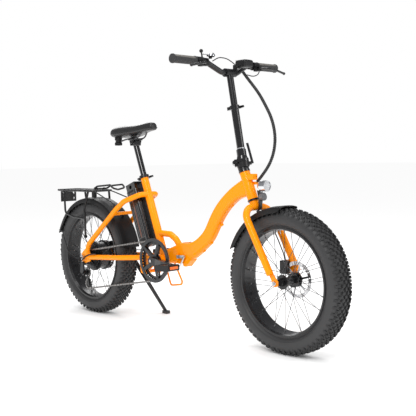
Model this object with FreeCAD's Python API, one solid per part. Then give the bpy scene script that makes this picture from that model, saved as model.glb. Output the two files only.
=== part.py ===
import FreeCAD, Part
import math
import os

# Folding electric bicycle with fat tyres, in millimetres.
# +X is forward, +Y is the rider's left, +Z is up. The origin is on the ground midway
# between the wheels. Everything is drawn unfolded, with the stand down.

# ---------------------------------------------------------------- driving dimensions
WHEEL_BASE = 1235.0
TYRE_R = 279.0
TYRE_HALF = 47.0
BEAD_R = 203.0
RIM_HALF = 40.0
RIM_INNER_R = 197.0
FLANGE_R = 209.5
SPOKE_R = 1.1
HEAD_ANGLE = 67.6
SEAT_ANGLE = 69.4
POST_ANGLE = 79.3
BAR_HALF = 292.0
BAR_R = 11.1
GRIP_R = 16.5
CRANK_LENGTH = 170.0
CRANK_RISE = -3.0
RING_TEETH = 44
COG_TEETH = (14, 16, 18, 20, 22, 24, 28)
JOCKEY_TEETH = 11
CHAIN_PITCH = 12.7
CHAIN_Y = -58.0
COG_STEP = 4.6
ROTOR_R = 71.0
STAY_R = 12.0
STAY_Y = 77.0
FORK_R = 14.0
FORK_Y = 79.0
SEAT_TUBE_R = 17.5
SEAT_POST_R = 13.6
FIT = 0.05
TYRE_SHOULDER = (33.0, 271.0)
TYRE_WALL = 4.5
BEAD_Y = 36.4
BULGE_R = 240.0
TREAD_HALF = 19.0
SPOKES_PER_SIDE = 18
DISC_Y, DISC_THICK = 54.0, 1.8
SLOT_GAP = 1.5
GUARD_R = 98.5
GUARD_TURN = 20.0
CRANK_AXLE_R = 9.0
PEDAL_IN, PEDAL_OUT = 105.5, 167.0
PEDAL_PIN_R = 5.0
JOCKEY_PIN_R = 3.0
CAGE_PIVOT_R = 4.0
GUSSET_R = 14.0
BATTERY_FRONT, BATTERY_BACK = 38.0, 110.0
BATTERY_LOW, BATTERY_SHOULDER, BATTERY_TOP = 100.0, 352.0, 386.0
BATTERY_HALF = 38.0
SADDLE_RAIL_R = 3.5
RACK_Z = 600.0
RACK_HALF = 62.0
CLIP_WIRE_R = 4.4
BEAM_WALL = 3.0
CARRIER_FACE_X = 456.0
HEAD_LOW, HEAD_HIGH = -49.0, 66.0
HEAD_R, HEAD_BORE_R, STEERER_R = 21.0, 17.0, 14.3
CUP_HEIGHT = 8.0
STEERER_TOP = 96.0
POST_R = 15.6
INNER_POST_R = 13.4
POST_TOP = 226.0
FLANGE_RADIUS = 25.0
STEM_PIN_OFFSET = 34.0
STEM_PIN_R = 4.0
STEM_GAP = 0.2
SEAT_TUBE_TOP = 397.0
HINGE_X = 42.0
HINGE_GAP = 0.2
HINGE_PIN_Y = 25.0
HINGE_PIN_R = 4.5
HINGE_LOW, HINGE_HIGH = 300.0, 386.0
LATCH_PIN_R = 3.0
STAND_PIN_R = 4.5
GRIP_IN = 174.0
LEVER_PIN_R = 2.5
BELL_PIN_R = 1.8
SLEEVE_R = 6.5
HOSE_R = 2.4
CABLE_R = 2.0

# ---------------------------------------------------------------- helpers


def point(x, y, z):
    return FreeCAD.Vector(x, y, z)


def heading(degrees):
    """Unit vector that leans back from vertical by 90 - degrees, in the frame's plane."""
    lean = math.radians(degrees)
    return point(-math.cos(lean), 0, math.sin(lean))


REAR_AXLE = point(-WHEEL_BASE / 2, 0, TYRE_R)
FRONT_AXLE = point(WHEEL_BASE / 2, 0, TYRE_R)
LEFT = point(0, 1, 0)
UP = point(0, 0, 1)

STEER_AXIS = heading(HEAD_ANGLE)
STEER_POINT = point(424, 0, 631)

POST_AXIS = heading(POST_ANGLE)
POST_BASE = point(389, 0, 734)

SEAT_AXIS = heading(SEAT_ANGLE)
BOTTOM_BRACKET = point(-98, 0, 304)

GUIDE_PULLEY = point(-622, 0, 201)
TENSION_PULLEY = point(-608, 0, 146)
WHEEL_MIDDLE = point(-400, 0, 250)
LATCH_PIVOT = point(18, -28, 327)
STAND_PIVOT = point(-440, 84, 258)
STAND_AXIS = point(-0.2186, 0.9758, 0)
STAND_FOOT = point(-327, 190, 12)
CLIP_PIVOT = point(-577, 0, RACK_Z + 10)
BAR_X, BAR_Z = 306.0, 1129.0
BAR_LINE = point(BAR_X, 0, BAR_Z)
BAR_MID = point(318, 0, 1091)
LEVER_PIVOT = point(342, 158, 1118)
BELL = point(331, -109, 1148)
BELL_PIVOT = point(331, -129, 1151)

# (share of the length, middle y, thickness, width) of a crank arm
CRANK_SECTIONS = [
    (0.0, 78.5, 15, 30), (0.18, 80, 14, 29), (0.5, 93, 13, 25), (0.8, 96, 12, 22), (1.0, 96, 12, 20),
]
# (x, z, depth, width) along the lower stub, the beam and the saddle
STUB = [(-98, 314, 52, 32), (-46, 325, 70, 34), (16, 338, 86, 36)]
BEAM = [
    (64, 346, 76, 40), (86, 355, 72, 41), (118, 371, 64, 41), (158, 398, 60, 40), (200, 440, 59, 40),
    (229, 486, 59, 40), (258, 527, 59, 40), (292, 563, 58, 40), (332, 595, 58, 40), (368, 616, 62, 38),
    (400, 629, 70, 36), (414, 634, 74, 34),
]
SADDLE = [
    (-412, 872, 26, 80), (-402, 872, 48, 124), (-384, 873, 56, 156), (-350, 874, 59, 172),
    (-312, 877, 53, 154), (-270, 881, 45, 106), (-232, 887, 41, 72), (-196, 893, 41, 56),
    (-168, 895, 39, 46), (-154, 893, 29, 34),
]
SLEEVE_ROUTE = [
    point(346, 54, 1094), point(373, 52, 1066), point(411, 48, 1031), point(446, 44, 995),
    point(477, 41, 953), point(505, 38, 913), point(523, 35, 873), point(533, 32, 834),
    point(534, 29, 796), point(525, 27, 757), point(508, 25, 722), point(480, 23, 688), point(446, 23, 656),
]


def on_steer(distance):
    return STEER_POINT + STEER_AXIS * distance


def on_post(distance):
    return POST_BASE + POST_AXIS * distance


def on_seat(distance, back=0.0, y=0.0):
    """Place by the distance up the seat tube from the bottom bracket and behind its axis."""
    behind = point(-SEAT_AXIS.z, 0, SEAT_AXIS.x)
    return BOTTOM_BRACKET + SEAT_AXIS * distance + behind * back + LEFT * y


def fused(shapes):
    solid = shapes[0]
    if len(shapes) > 1:
        solid = solid.multiFuse(shapes[1:])
    return solid.removeSplitter()


def rod(start, end, radius, bore=0.0):
    run = end - start
    solid = Part.makeCylinder(radius, run.Length, start, run)
    if bore:
        solid = solid.cut(Part.makeCylinder(bore, run.Length, start, run))
    return solid


def across(centre, radius, y_from, y_to, bore=0.0):
    """Cylinder along Y about a point of the frame's plane."""
    start = point(centre.x, y_from, centre.z)
    return rod(start, start + LEFT * (y_to - y_from), radius, bore)


def block(low, high):
    return Part.makeBox(high[0] - low[0], high[1] - low[1], high[2] - low[2], point(*low))


def eased(low, high, radius):
    """Block with every edge rounded."""
    solid = block(low, high)
    return solid.makeFillet(radius, solid.Edges)


def plate(outline, y_from, y_to):
    """Flat plate from an outline of (x, z) corners."""
    corners = [point(x, y_from, z) for x, z in outline]
    face = Part.Face(Part.makePolygon(corners + corners[:1]))
    return face.extrude(LEFT * (y_to - y_from))


def turned(profile, centre):
    """Solid of revolution about Y from a profile of (y, radius) corners."""
    corners = [point(centre.x, y, centre.z + radius) for y, radius in profile]
    face = Part.Face(Part.makePolygon(corners + corners[:1]))
    return face.revolve(centre, LEFT, 360)


def route(points, bends):
    """Straight runs through the points, joined by tangent arcs.

    bends is one radius, one for each corner, or None for arcs as large as the runs allow."""
    edges = []
    last = points[0]
    radii = bends if isinstance(bends, tuple) else (bends,) * (len(points) - 2)
    for before, corner, after, bend in zip(points, points[1:], points[2:], radii):
        back = before - corner
        ahead = after - corner
        shorter = min(back.Length, ahead.Length)
        half = back.getAngle(ahead) / 2
        radius = bend or 0.45 * shorter * math.tan(half)
        back.normalize()
        ahead.normalize()
        inward = (back + ahead).normalize()
        trim = radius / math.tan(half)
        middle = corner + inward * (radius / math.sin(half) - radius)
        start = corner + back * trim
        end = corner + ahead * trim
        if (start - last).Length > 1e-6:
            edges.append(Part.LineSegment(last, start).toShape())
        edges.append(Part.Arc(start, middle, end).toShape())
        last = end
    edges.append(Part.LineSegment(last, points[-1]).toShape())
    return Part.Wire(edges)


def tube(points, radius, bends=None):
    """Round bar along a route."""
    path = route(points, bends)
    first = points[1] - points[0]
    circle = Part.Wire([Part.Circle(points[0], first, radius).toShape()])
    return path.makePipeShell([circle], True, False)


def mirrored(shape):
    return shape.mirror(point(0, 0, 0), LEFT)


def both_sides(shape):
    return [shape, mirrored(shape)]


def spun(shape, centre, axis, degrees):
    copy = shape.copy()
    copy.rotate(centre, axis, degrees)
    return copy


def around(shape, count, centre, axis=LEFT, start=0.0):
    """Copies of a shape, evenly spaced about an axis."""
    return [spun(shape, centre, axis, start + 360.0 * i / count) for i in range(count)]


def rounded_section(centre, along, depth, width, corner):
    """Rounded rectangle square to a direction, width across Y."""
    side = LEFT
    rise = point(-along.z, 0, along.x).normalize()
    half_w, half_d = width / 2, depth / 2
    edges = []
    for turn in range(4):
        a_sign = (1, -1, -1, 1)[turn]
        b_sign = (1, 1, -1, -1)[turn]
        hub = centre + side * (a_sign * (half_w - corner)) + rise * (b_sign * (half_d - corner))
        flat_out = side * a_sign if turn % 2 == 0 else rise * b_sign
        flat_in = rise * b_sign if turn % 2 == 0 else side * a_sign
        diagonal = (flat_out + flat_in).normalize()
        arc = Part.Arc(hub + flat_out * corner, hub + diagonal * corner, hub + flat_in * corner)
        if edges:
            edges.append(Part.LineSegment(edges[-1].Vertexes[-1].Point, arc.StartPoint).toShape())
        edges.append(arc.toShape())
    edges.append(Part.LineSegment(edges[-1].Vertexes[-1].Point, edges[0].Vertexes[0].Point).toShape())
    return Part.Wire(edges)


def lofted(stations, corner_share=0.42, inset=0.0):
    """Solid through rounded sections, from stations of (x, z, depth, width)."""
    centres = [point(x, 0, z) for x, z, _, _ in stations]
    sections = []
    for i, (_, _, depth, width) in enumerate(stations):
        before = centres[max(i - 1, 0)]
        after = centres[min(i + 1, len(centres) - 1)]
        along = (after - before).normalize()
        depth_in, width_in = depth - 2 * inset, width - 2 * inset
        corner = corner_share * min(depth_in, width_in)
        sections.append(rounded_section(centres[i], along, depth_in, width_in, corner))
    return Part.makeLoft(sections, True, False)


def pitch_radius(teeth):
    return CHAIN_PITCH / (2 * math.sin(math.pi / teeth))


def sprocket(centre, teeth, y, thickness, bore):
    """Toothed ring: rounded gullets cut on the pitch circle of a blank."""
    pitch = pitch_radius(teeth)
    blank = across(centre, pitch + 3.2, y - thickness / 2, y + thickness / 2, bore)
    gullet = across(centre + UP * pitch, 3.95, y - thickness, y + thickness)
    step = 180.0 / teeth
    return blank.cut(Part.makeCompound(around(gullet, teeth, centre, LEFT, step)))


def save(name, shapes):
    solids = shapes if isinstance(shapes, list) else [shapes]
    shape = solids[0] if len(solids) == 1 else Part.makeCompound(solids)
    shape.exportStep("parts/" + name + ".step")


# ---------------------------------------------------------------- wheels


def tyre(axle):
    """Hollow casing with a flat crown, bead to bead."""

    def half_edges(grow, bead_y, bead_r):
        shoulder_y, shoulder_r = TYRE_SHOULDER
        bead = point(axle.x, bead_y, axle.z + bead_r)
        bulge = point(axle.x, TYRE_HALF - grow, axle.z + BULGE_R)
        shoulder = point(axle.x, shoulder_y - grow, axle.z + shoulder_r - grow)
        crown = point(axle.x, TREAD_HALF, axle.z + TYRE_R - grow)
        return bead, bulge, shoulder, crown

    edges = []
    rings = []
    for grow, bead_y in ((0.0, BEAD_Y), (TYRE_WALL, BEAD_Y - TYRE_WALL)):
        bead, bulge, shoulder, crown = half_edges(grow, bead_y, FLANGE_R)
        other = [point(p.x, -p.y, p.z) for p in (bead, bulge, shoulder, crown)]
        edges += [
            Part.Arc(bead, bulge, shoulder).toShape(),
            Part.LineSegment(shoulder, crown).toShape(),
            Part.LineSegment(crown, other[3]).toShape(),
            Part.LineSegment(other[3], other[2]).toShape(),
            Part.Arc(other[2], other[1], other[0]).toShape(),
        ]
        rings.append((bead, other[0]))
    for side in (0, 1):
        outer, inner = rings[0][side], rings[1][side]
        outer_foot = point(outer.x, outer.y, axle.z + BEAD_R)
        inner_foot = point(inner.x, inner.y, axle.z + BEAD_R)
        edges += [
            Part.LineSegment(outer, outer_foot).toShape(),
            Part.LineSegment(outer_foot, inner_foot).toShape(),
            Part.LineSegment(inner_foot, inner).toShape(),
        ]
    wire = Part.Wire(Part.__sortEdges__(edges))
    return Part.Face(wire).revolve(axle, LEFT, 360)


def rim(axle):
    """Wide single-wall rim with raised flanges."""
    half = [
        (30.0, RIM_INNER_R),
        (RIM_HALF, RIM_INNER_R + 5),
        (RIM_HALF, FLANGE_R),
        (36.6, FLANGE_R),
        (36.6, BEAD_R),
    ]
    profile = half + [(-y, radius) for y, radius in reversed(half)]
    return turned(profile, axle)


def spokes(axle, flange_r, flange_ys, rim_y, lead):
    """Laced spokes with nipples: each pair leans forward and back of its hole by lead."""
    wires = []
    for side, flange_y in zip((1, -1), flange_ys):
        for i in range(SPOKES_PER_SIDE):
            lean = lead if i % 2 else -lead
            layer = 1.9 if i % 2 else -1.9
            hub_turn = math.radians(360.0 * i / SPOKES_PER_SIDE + (5 if side > 0 else 0))
            rim_turn = hub_turn + math.radians(lean)
            inner = point(
                axle.x + flange_r * math.sin(hub_turn),
                flange_y + side * layer,
                axle.z + flange_r * math.cos(hub_turn),
            )
            outer = point(
                axle.x + (RIM_INNER_R - 0.6) * math.sin(rim_turn),
                side * rim_y,
                axle.z + (RIM_INNER_R - 0.6) * math.cos(rim_turn),
            )
            run = (outer - inner).normalize()
            collar = outer - run * 14
            wires.append(fused([rod(inner, collar, SPOKE_R), rod(collar, outer, 2.2)]))
    return wires


def rotor(axle):
    """Brake disc: a slotted track on six arms and a mounting ring."""
    near, far = DISC_Y, DISC_Y + DISC_THICK
    track = across(axle, ROTOR_R, near, far, ROTOR_R - 14)
    ring = across(axle, 27, near, far, 17.2)
    arm = block((axle.x - 4, near, axle.z + 25), (axle.x + 4, far, axle.z + ROTOR_R - 12))
    track_low, track_high = axle.z + ROTOR_R - 12, axle.z + ROTOR_R - 3
    slot = block((axle.x - 1.5, near - 1, track_low), (axle.x + 1.5, far + 1, track_high))
    bolt = across(axle + UP * 22, 4, far, far + 2.7)
    disc = fused([track, ring] + around(arm, 6, axle, LEFT, 15)).cut(around(slot, 18, axle))
    return disc.fuse(around(bolt, 6, axle)).removeSplitter()


def wheels():
    for name, axle in (("rear", REAR_AXLE), ("front", FRONT_AXLE)):
        save(name + "_tyre", tyre(axle))
        save(name + "_rim", rim(axle))
    save("front_spokes", spokes(FRONT_AXLE, 25, (31.0, -31.0), 9, 42))
    save("rear_spokes", spokes(REAR_AXLE, 68, (35.0, -21.0), 9, 14))
    save("front_rotor", rotor(FRONT_AXLE))
    save("rear_rotor", rotor(REAR_AXLE))


def front_hub():
    profile = [
        (-62, 5 + FIT), (-62, 12), (-50, 16), (-32.5, 16), (-32.5, 28), (-29.5, 28), (-29.5, 16),
        (29.5, 16), (29.5, 28), (32.5, 28), (32.5, 17.1), (50, 17.1), (50, 28), (54, 28), (54, 17.1),
        (57, 17.1), (62, 12), (62, 5 + FIT),
    ]
    save("front_hub", turned(profile, FRONT_AXLE))
    solid = across(FRONT_AXLE, 5, -88, 88)
    for side in (1, -1):
        cone = sorted((side * 62.3, side * 67.4))
        nut = sorted((side * 73.6, side * 82))
        solid = solid.fuse([across(FRONT_AXLE, 9, *cone), hex_nut(FRONT_AXLE, 9.5, *nut)])
    save("front_axle", solid.removeSplitter())


def hex_nut(centre, radius, y_from, y_to):
    corners = []
    for i in range(6):
        turn = math.radians(60 * i + 30)
        corners.append((centre.x + radius * math.cos(turn), centre.z + radius * math.sin(turn)))
    return plate(corners, y_from, y_to)


def hub_motor():
    """Geared hub motor: drum shell with spoke flanges, disc mount and freewheel seat."""
    profile = [
        (-66, 7 + FIT), (-66, 14), (-28, 14), (-28, 40), (-24, 62), (-22.5, 73), (-19.5, 73), (-18, 66),
        (32, 66), (33.5, 73), (36.5, 73), (38, 62), (46, 40), (50, 28), (54, 28), (54, 17.1),
        (60, 17.1), (64, 14), (64, 7 + FIT),
    ]
    save("hub_motor", turned(profile, REAR_AXLE))
    solid = across(REAR_AXLE, 7, -96, 96)
    for side in (1, -1):
        washer = sorted((side * 66.5, side * 73.9))
        nut = sorted((side * 80.2, side * 92))
        solid = solid.fuse([across(REAR_AXLE, 10, *washer), hex_nut(REAR_AXLE, 12, *nut)])
    save("rear_axle", solid.removeSplitter())


# ---------------------------------------------------------------- drive train


def chain_loop(grow):
    """Closed outline of the chain about its four wheels, moved outwards by grow.

    A wheel that the chain passes on its outside has a negative radius."""
    wheels_on_path = [
        (BOTTOM_BRACKET, pitch_radius(RING_TEETH) + grow),
        (TENSION_PULLEY, pitch_radius(JOCKEY_TEETH) + grow),
        (GUIDE_PULLEY, -pitch_radius(JOCKEY_TEETH) + grow),
        (REAR_AXLE, pitch_radius(COG_TEETH[0]) + grow),
    ]
    normals = []
    for i, (centre, radius) in enumerate(wheels_on_path):
        following, next_radius = wheels_on_path[(i + 1) % 4]
        run = point(following.x - centre.x, 0, following.z - centre.z)
        swing = math.acos((radius - next_radius) / run.Length)
        bearing = math.atan2(run.z, run.x) + swing
        normals.append(point(math.cos(bearing), 0, math.sin(bearing)))
    edges = []
    for i, (centre, radius) in enumerate(wheels_on_path):
        arriving, leaving = normals[i - 1], normals[i]
        bisector = arriving + leaving
        facing = centre - WHEEL_MIDDLE
        if radius > 0 and bisector.dot(facing) < 0:
            bisector = bisector * -1
        bisector.normalize()
        hub = point(centre.x, 0, centre.z)
        start, middle, end = (hub + n * radius for n in (arriving, bisector, leaving))
        edges.append(Part.Arc(start, middle, end).toShape())
        following, next_radius = wheels_on_path[(i + 1) % 4]
        arrival = point(following.x, 0, following.z) + normals[i] * next_radius
        edges.append(Part.LineSegment(end, arrival).toShape())
    return Part.Wire(edges)


def chain():
    """Two rows of side plates, drawn as continuous bands that the teeth run between."""
    bands = []
    outer = Part.Face(chain_loop(3.9))
    inner = Part.Face(chain_loop(-3.9))
    band = outer.cut(inner)
    for y_from in (CHAIN_Y - 3.2, CHAIN_Y + 2.0):
        layer = band.copy()
        layer.translate(LEFT * y_from)
        bands += layer.extrude(LEFT * 1.2).Solids
    save("chain", bands)


def freewheel():
    cogs = []
    for i, teeth in enumerate(COG_TEETH):
        cogs.append(sprocket(REAR_AXLE, teeth, CHAIN_Y + COG_STEP * i, 2.0, 17))
    body = across(REAR_AXLE, 19, CHAIN_Y - 2, CHAIN_Y + COG_STEP * 6 + 1, 14 + FIT)
    save("freewheel", fused([body] + cogs))


def jockey_wheels():
    for name, centre in (("upper_jockey_wheel", GUIDE_PULLEY), ("lower_jockey_wheel", TENSION_PULLEY)):
        save(name, sprocket(centre, JOCKEY_TEETH, CHAIN_Y, 2.0, JOCKEY_PIN_R + FIT))


def derailleur():
    """Hanger, parallelogram and pivot knuckle; the spring cage is a separate node."""
    hanger = plate([(-626, 262), (-606, 262), (-608, 240), (-624, 236)], -80, -74)
    upper = across(point(-617, 0, 248), 9, -92, -80)
    arm = plate([(-627, 250), (-607, 250), (-606, 212), (-620, 196), (-634, 206)], -92, -84)
    knuckle = across(GUIDE_PULLEY, 11, -84, -68)
    pivot = across(GUIDE_PULLEY, CAGE_PIVOT_R, -68, -63.2)
    save("derailleur_body", fused([hanger.cut(mirrored(dropout())), upper, arm, knuckle, pivot]))


def derailleur_cage():
    """Two plates with the pins that the jockey wheels turn on."""
    outer = plate(cage_outline(), -63.6, -62.0)
    inner = plate(cage_outline(), -54.0, -52.4)
    bore = across(GUIDE_PULLEY, CAGE_PIVOT_R + FIT, -64, -61.5)
    guide_pin = across(GUIDE_PULLEY, JOCKEY_PIN_R, -62.0, -53)
    tension_pin = across(TENSION_PULLEY, JOCKEY_PIN_R, -62.5, -53)
    save("derailleur_cage", fused([outer.cut(bore), inner, guide_pin, tension_pin]))


def cage_outline():
    run = (TENSION_PULLEY - GUIDE_PULLEY).normalize()
    side = point(-run.z, 0, run.x) * 5.4
    top = GUIDE_PULLEY - run * 11
    foot = TENSION_PULLEY + run * 11
    return [(c.x, c.z) for c in (top + side, foot + side, foot - side, top - side)]


def crankset():
    """Toothed ring on a five-arm spider, the open five-spoke guard beside it, and the arms."""
    ring = sprocket(BOTTOM_BRACKET, RING_TEETH, CHAIN_Y, 2.0, 72)
    x, z = BOTTOM_BRACKET.x, BOTTOM_BRACKET.z
    arm = block((x - 5, -53.5, z + 20), (x + 5, -49, z + 79))
    stud = across(BOTTOM_BRACKET + UP * 76, 3.5, -64, -49)
    spider = around(arm, 5, BOTTOM_BRACKET, LEFT, GUARD_TURN)
    studs = around(stud, 5, BOTTOM_BRACKET, LEFT, GUARD_TURN)
    boss = across(BOTTOM_BRACKET, 24, -53.5, -45, CRANK_AXLE_R)
    carrier = across(BOTTOM_BRACKET, 82, -57, -53.5, 72)
    save("chainring", fused([ring, carrier, boss] + spider + studs))
    spoke = block((x - 7, -67, z + 18), (x + 7, -64, z + 90))
    rim_ring = across(BOTTOM_BRACKET, GUARD_R, -68, -64, GUARD_R - 14)
    middle = across(BOTTOM_BRACKET, 26, -67, -64, CRANK_AXLE_R)
    guard = fused([rim_ring, middle] + around(spoke, 5, BOTTOM_BRACKET, LEFT, GUARD_TURN))
    save("chain_guard", guard.cut(studs))
    axle = across(BOTTOM_BRACKET, CRANK_AXLE_R, -84, 84)
    save("crank_arms", fused([axle, crank_arm(-1), crank_arm(1)]))


def pedal_centre(side):
    """Pedal axle: the right crank points forward, the left one back."""
    forward = 1 if side < 0 else -1
    rise = math.radians(CRANK_RISE)
    run = point(math.cos(rise), 0, math.sin(rise))
    return BOTTOM_BRACKET + run * (forward * CRANK_LENGTH)


def crank_arm(side):
    """Forged arm that swings outwards from the axle to the pedal eye."""
    end = pedal_centre(side)
    run = (end - BOTTOM_BRACKET).normalize()
    across_run = point(-run.z, 0, run.x)
    sections = []
    for share, middle_y, thick, wide in CRANK_SECTIONS:
        centre = BOTTOM_BRACKET + run * (CRANK_LENGTH * share) + LEFT * (side * middle_y)
        corners = []
        for up, out in ((1, 1), (1, -1), (-1, -1), (-1, 1)):
            corners.append(centre + across_run * (up * wide / 2) + LEFT * (out * thick / 2))
        sections.append(Part.makePolygon(corners + corners[:1]))
    web = Part.makeLoft(sections, True, True)
    hub = across(BOTTOM_BRACKET, 18, *sorted((side * 71.0, side * 86.0)))
    eye = across(end, 12.5, *sorted((side * 90.0, side * 102.0)))
    pedal_pin = across(end, PEDAL_PIN_R, *sorted((side * 102.0, side * 162.0)))
    return fused([web, hub, eye, pedal_pin])


def pedals():
    """Platform pedals with an open cage either side of the axle."""
    for name, side in (("right_pedal", -1), ("left_pedal", 1)):
        centre = pedal_centre(side)
        low, high = sorted((side * PEDAL_IN, side * PEDAL_OUT))
        body = block((centre.x - 45, low, centre.z - 13), (centre.x + 45, high, centre.z + 13))
        body = body.makeFillet(7, [e for e in body.Edges if abs(e.tangentAt(0).y) > 0.9])
        for x in (-26, 26):
            near, far = centre.x + x - 13, centre.x + x + 13
            body = body.cut(block((near, low + 11, centre.z - 20), (far, high - 11, centre.z + 20)))
        bore = across(centre, PEDAL_PIN_R + FIT, *sorted((side * (PEDAL_IN - 1), side * (PEDAL_OUT - 3))))
        body = body.cut(bore)
        body.rotate(centre, LEFT, -4)
        save(name, body)


# ---------------------------------------------------------------- rear half of the frame


def seat_tube():
    return rod(on_seat(0), on_seat(SEAT_TUBE_TOP), SEAT_TUBE_R)


def bracket_shell():
    return across(BOTTOM_BRACKET, 22, -42, 42)


def gusset_tube():
    return tube([on_seat(120, -8), point(-60, 0, 418), point(-22, 0, 398), point(10, 0, 362)], GUSSET_R, 30)


def stub_beam():
    return lofted(STUB)


def guard_loop():
    """Wire foot under the hinge that keeps the chain wheel off the floor when folded."""
    return tube([point(-96, 0, 278), point(-62, 0, 190), point(21, 0, 203), point(-34, 0, 290)], 4.0, 13)


def seat_tube_frame():
    """Seat tube, bottom bracket shell, gusset tube, lower stub and wire foot, welded together."""
    joined = fused([seat_tube(), bracket_shell(), gusset_tube(), stub_beam(), guard_loop()])
    joined = joined.cut(rod(on_seat(45), on_seat(SEAT_TUBE_TOP + 1), SEAT_POST_R + FIT))
    slit = Part.makeBox(30, 2, 40, point(-30, -1, -38))
    slit.rotate(point(0, 0, 0), LEFT, SEAT_ANGLE - 90)
    slit.translate(on_seat(SEAT_TUBE_TOP))
    axle_bore = across(BOTTOM_BRACKET, CRANK_AXLE_R + FIT, -43, 43)
    save("seat_tube_frame", joined.cut([axle_bore, slit]))


def stay_tube():
    """Left stay: from the seat tube round the battery to the dropout and back."""
    corners = [
        point(-203, 6, 593), point(-210, 47, 591), point(-290, STAY_Y, 560), point(-350, STAY_Y, 522),
        point(-578, STAY_Y, 342), point(-598, STAY_Y, 279), point(-330, STAY_Y, 298), point(-196, 32, 306),
        point(-128, 26, 308),
    ]
    return tube(corners, STAY_R, (22, 60, 60, 60, 22, 90, 40))


def dropout():
    outline = [
        (-636, 264), (-628, 252), (-606, 250), (-566, 262),
        (-566, 296), (-590, 330), (-606, 318), (-634, 296),
    ]
    return plate(outline, 74, 80).cut(across(REAR_AXLE, 7, 70, 90))


def kickstand_yoke():
    """Welded web behind the bottom bracket, under the chain stays."""
    outline = [(-122, 284), (-150, 290), (-196, 298), (-232, 298), (-222, 236), (-184, 226), (-172, 244)]
    return plate(outline, 36, 41)


def rear_stays():
    left = fused([stay_tube(), dropout(), kickstand_yoke()])
    bridges = [
        rod(point(-378, -STAY_Y, 499), point(-378, STAY_Y, 499), 8),
        rod(point(-246, -50, 303), point(-246, 50, 303), 8),
        rod(point(-203, -38, 240), point(-203, 38, 240), 8),
    ]
    whole = fused([left, mirrored(left)] + bridges)
    save("rear_stays", whole.cut([seat_tube(), bracket_shell(), stub_beam()]))


def knuckle_line(z_low, z_high, radius):
    base = point(HINGE_X, HINGE_PIN_Y, 0)
    return rod(base + UP * z_low, base + UP * z_high, radius)


def hinge_blocks():
    """Cast hinge halves that meet at one upright plane, with interleaved knuckles."""
    rear_face, front_face = HINGE_X - HINGE_GAP, HINGE_X + HINGE_GAP
    rear_outline = [(4, 300), (12, 294), (rear_face, HINGE_LOW), (rear_face, HINGE_HIGH), (18, 386), (0, 376)]
    front_outline = [
        (front_face, 292), (47, 286), (62, 286), (74, 298),
        (92, 314), (92, 384), (84, 388), (front_face, HINGE_HIGH),
    ]
    rear = [plate(rear_outline, -20, 16)]
    front = [plate(front_outline, -20, 16)]
    for z_low, z_high in ((302, 322), (366, 386)):
        rear += [block((14, 10, z_low), (HINGE_X, HINGE_PIN_Y + 8, z_high)), knuckle_line(z_low, z_high, 8)]
    front += [block((HINGE_X, 10, 322.4), (70, HINGE_PIN_Y + 8, 365.6)), knuckle_line(322.4, 365.6, 8)]
    for z_low in (314, 334.5):
        rear.append(block((LATCH_PIVOT.x - 6, LATCH_PIVOT.y - 5, z_low), (LATCH_PIVOT.x + 6, -18, z_low + 5)))
    rear.append(latch_line(315, 338, LATCH_PIN_R))
    rear = fused(rear).cut(knuckle_line(322, 366, 9)).cut(knuckle_line(290, 400, HINGE_PIN_R + FIT))
    front = fused(front).cut([knuckle_line(290, 322.2, 9), knuckle_line(365.8, 400, 9)])
    front = front.cut(knuckle_line(322, 366, HINGE_PIN_R)).cut(beam_shape())
    save("hinge_rear_block", rear.cut([gusset_tube(), stub_beam()]))
    save("hinge_front_block", [front, knuckle_line(303, 385, HINGE_PIN_R)])


def latch_line(z_low, z_high, radius):
    base = point(LATCH_PIVOT.x, LATCH_PIVOT.y, 0)
    return rod(base + UP * z_low, base + UP * z_high, radius)


def frame_latch():
    """Over-centre lever on the rear block: a bar across the joint and a handle hanging from it."""
    barrel = latch_line(319.5, 334, 6)
    bar = plate([(18, 321), (58, 323), (66, 329), (64, 335), (56, 336), (18, 333)], -33, -26)
    handle = rod(point(60, -29.5, 330), point(37, -31, 288), 4.2)
    tip = Part.makeSphere(4.2, point(37, -31, 288))
    bore = latch_line(300, 345, LATCH_PIN_R + FIT)
    save("hinge_latch_lever", fused([barrel, bar, handle, tip]).cut(bore))


def seat_clamp():
    """Slotted collar on the seat tube with a cross bolt at the back."""
    collar = rod(on_seat(SEAT_TUBE_TOP - 13), on_seat(SEAT_TUBE_TOP), 22, SEAT_TUBE_R)
    lug = Part.makeBox(20, 18, 12, point(-36, -9, -12.5))
    lug.rotate(point(0, 0, 0), LEFT, SEAT_ANGLE - 90)
    lug.translate(on_seat(SEAT_TUBE_TOP))
    bolt = rod(seat_cam_pivot() - LEFT * 44, seat_cam_pivot() - LEFT * 7.5, 3)
    return fused([collar, lug.cut(seat_tube()), bolt])


def seat_cam_pivot():
    return on_seat(SEAT_TUBE_TOP - 6, 29, 27)


def cam_lever(pivot, turn_axis, reach, width):
    """Quick-release lever: a cam barrel on its pivot and a tapering blade along +X."""
    barrel = rod(pivot - turn_axis * 6, pivot + turn_axis * 6, 7)
    side = turn_axis * (width / 2)
    tip = pivot + reach
    outward = LEFT * 3.5
    corners = [pivot + side, tip + side * 0.55, tip - side * 0.55, pivot - side]
    face = Part.Face(Part.makePolygon([c - outward for c in corners + corners[:1]]))
    return fused([barrel, face.extrude(outward * 2)])


def seat_clamp_lever():
    save("seat_clamp_lever", cam_lever(seat_cam_pivot(), SEAT_AXIS, point(50, 5, 14), 14))


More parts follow.
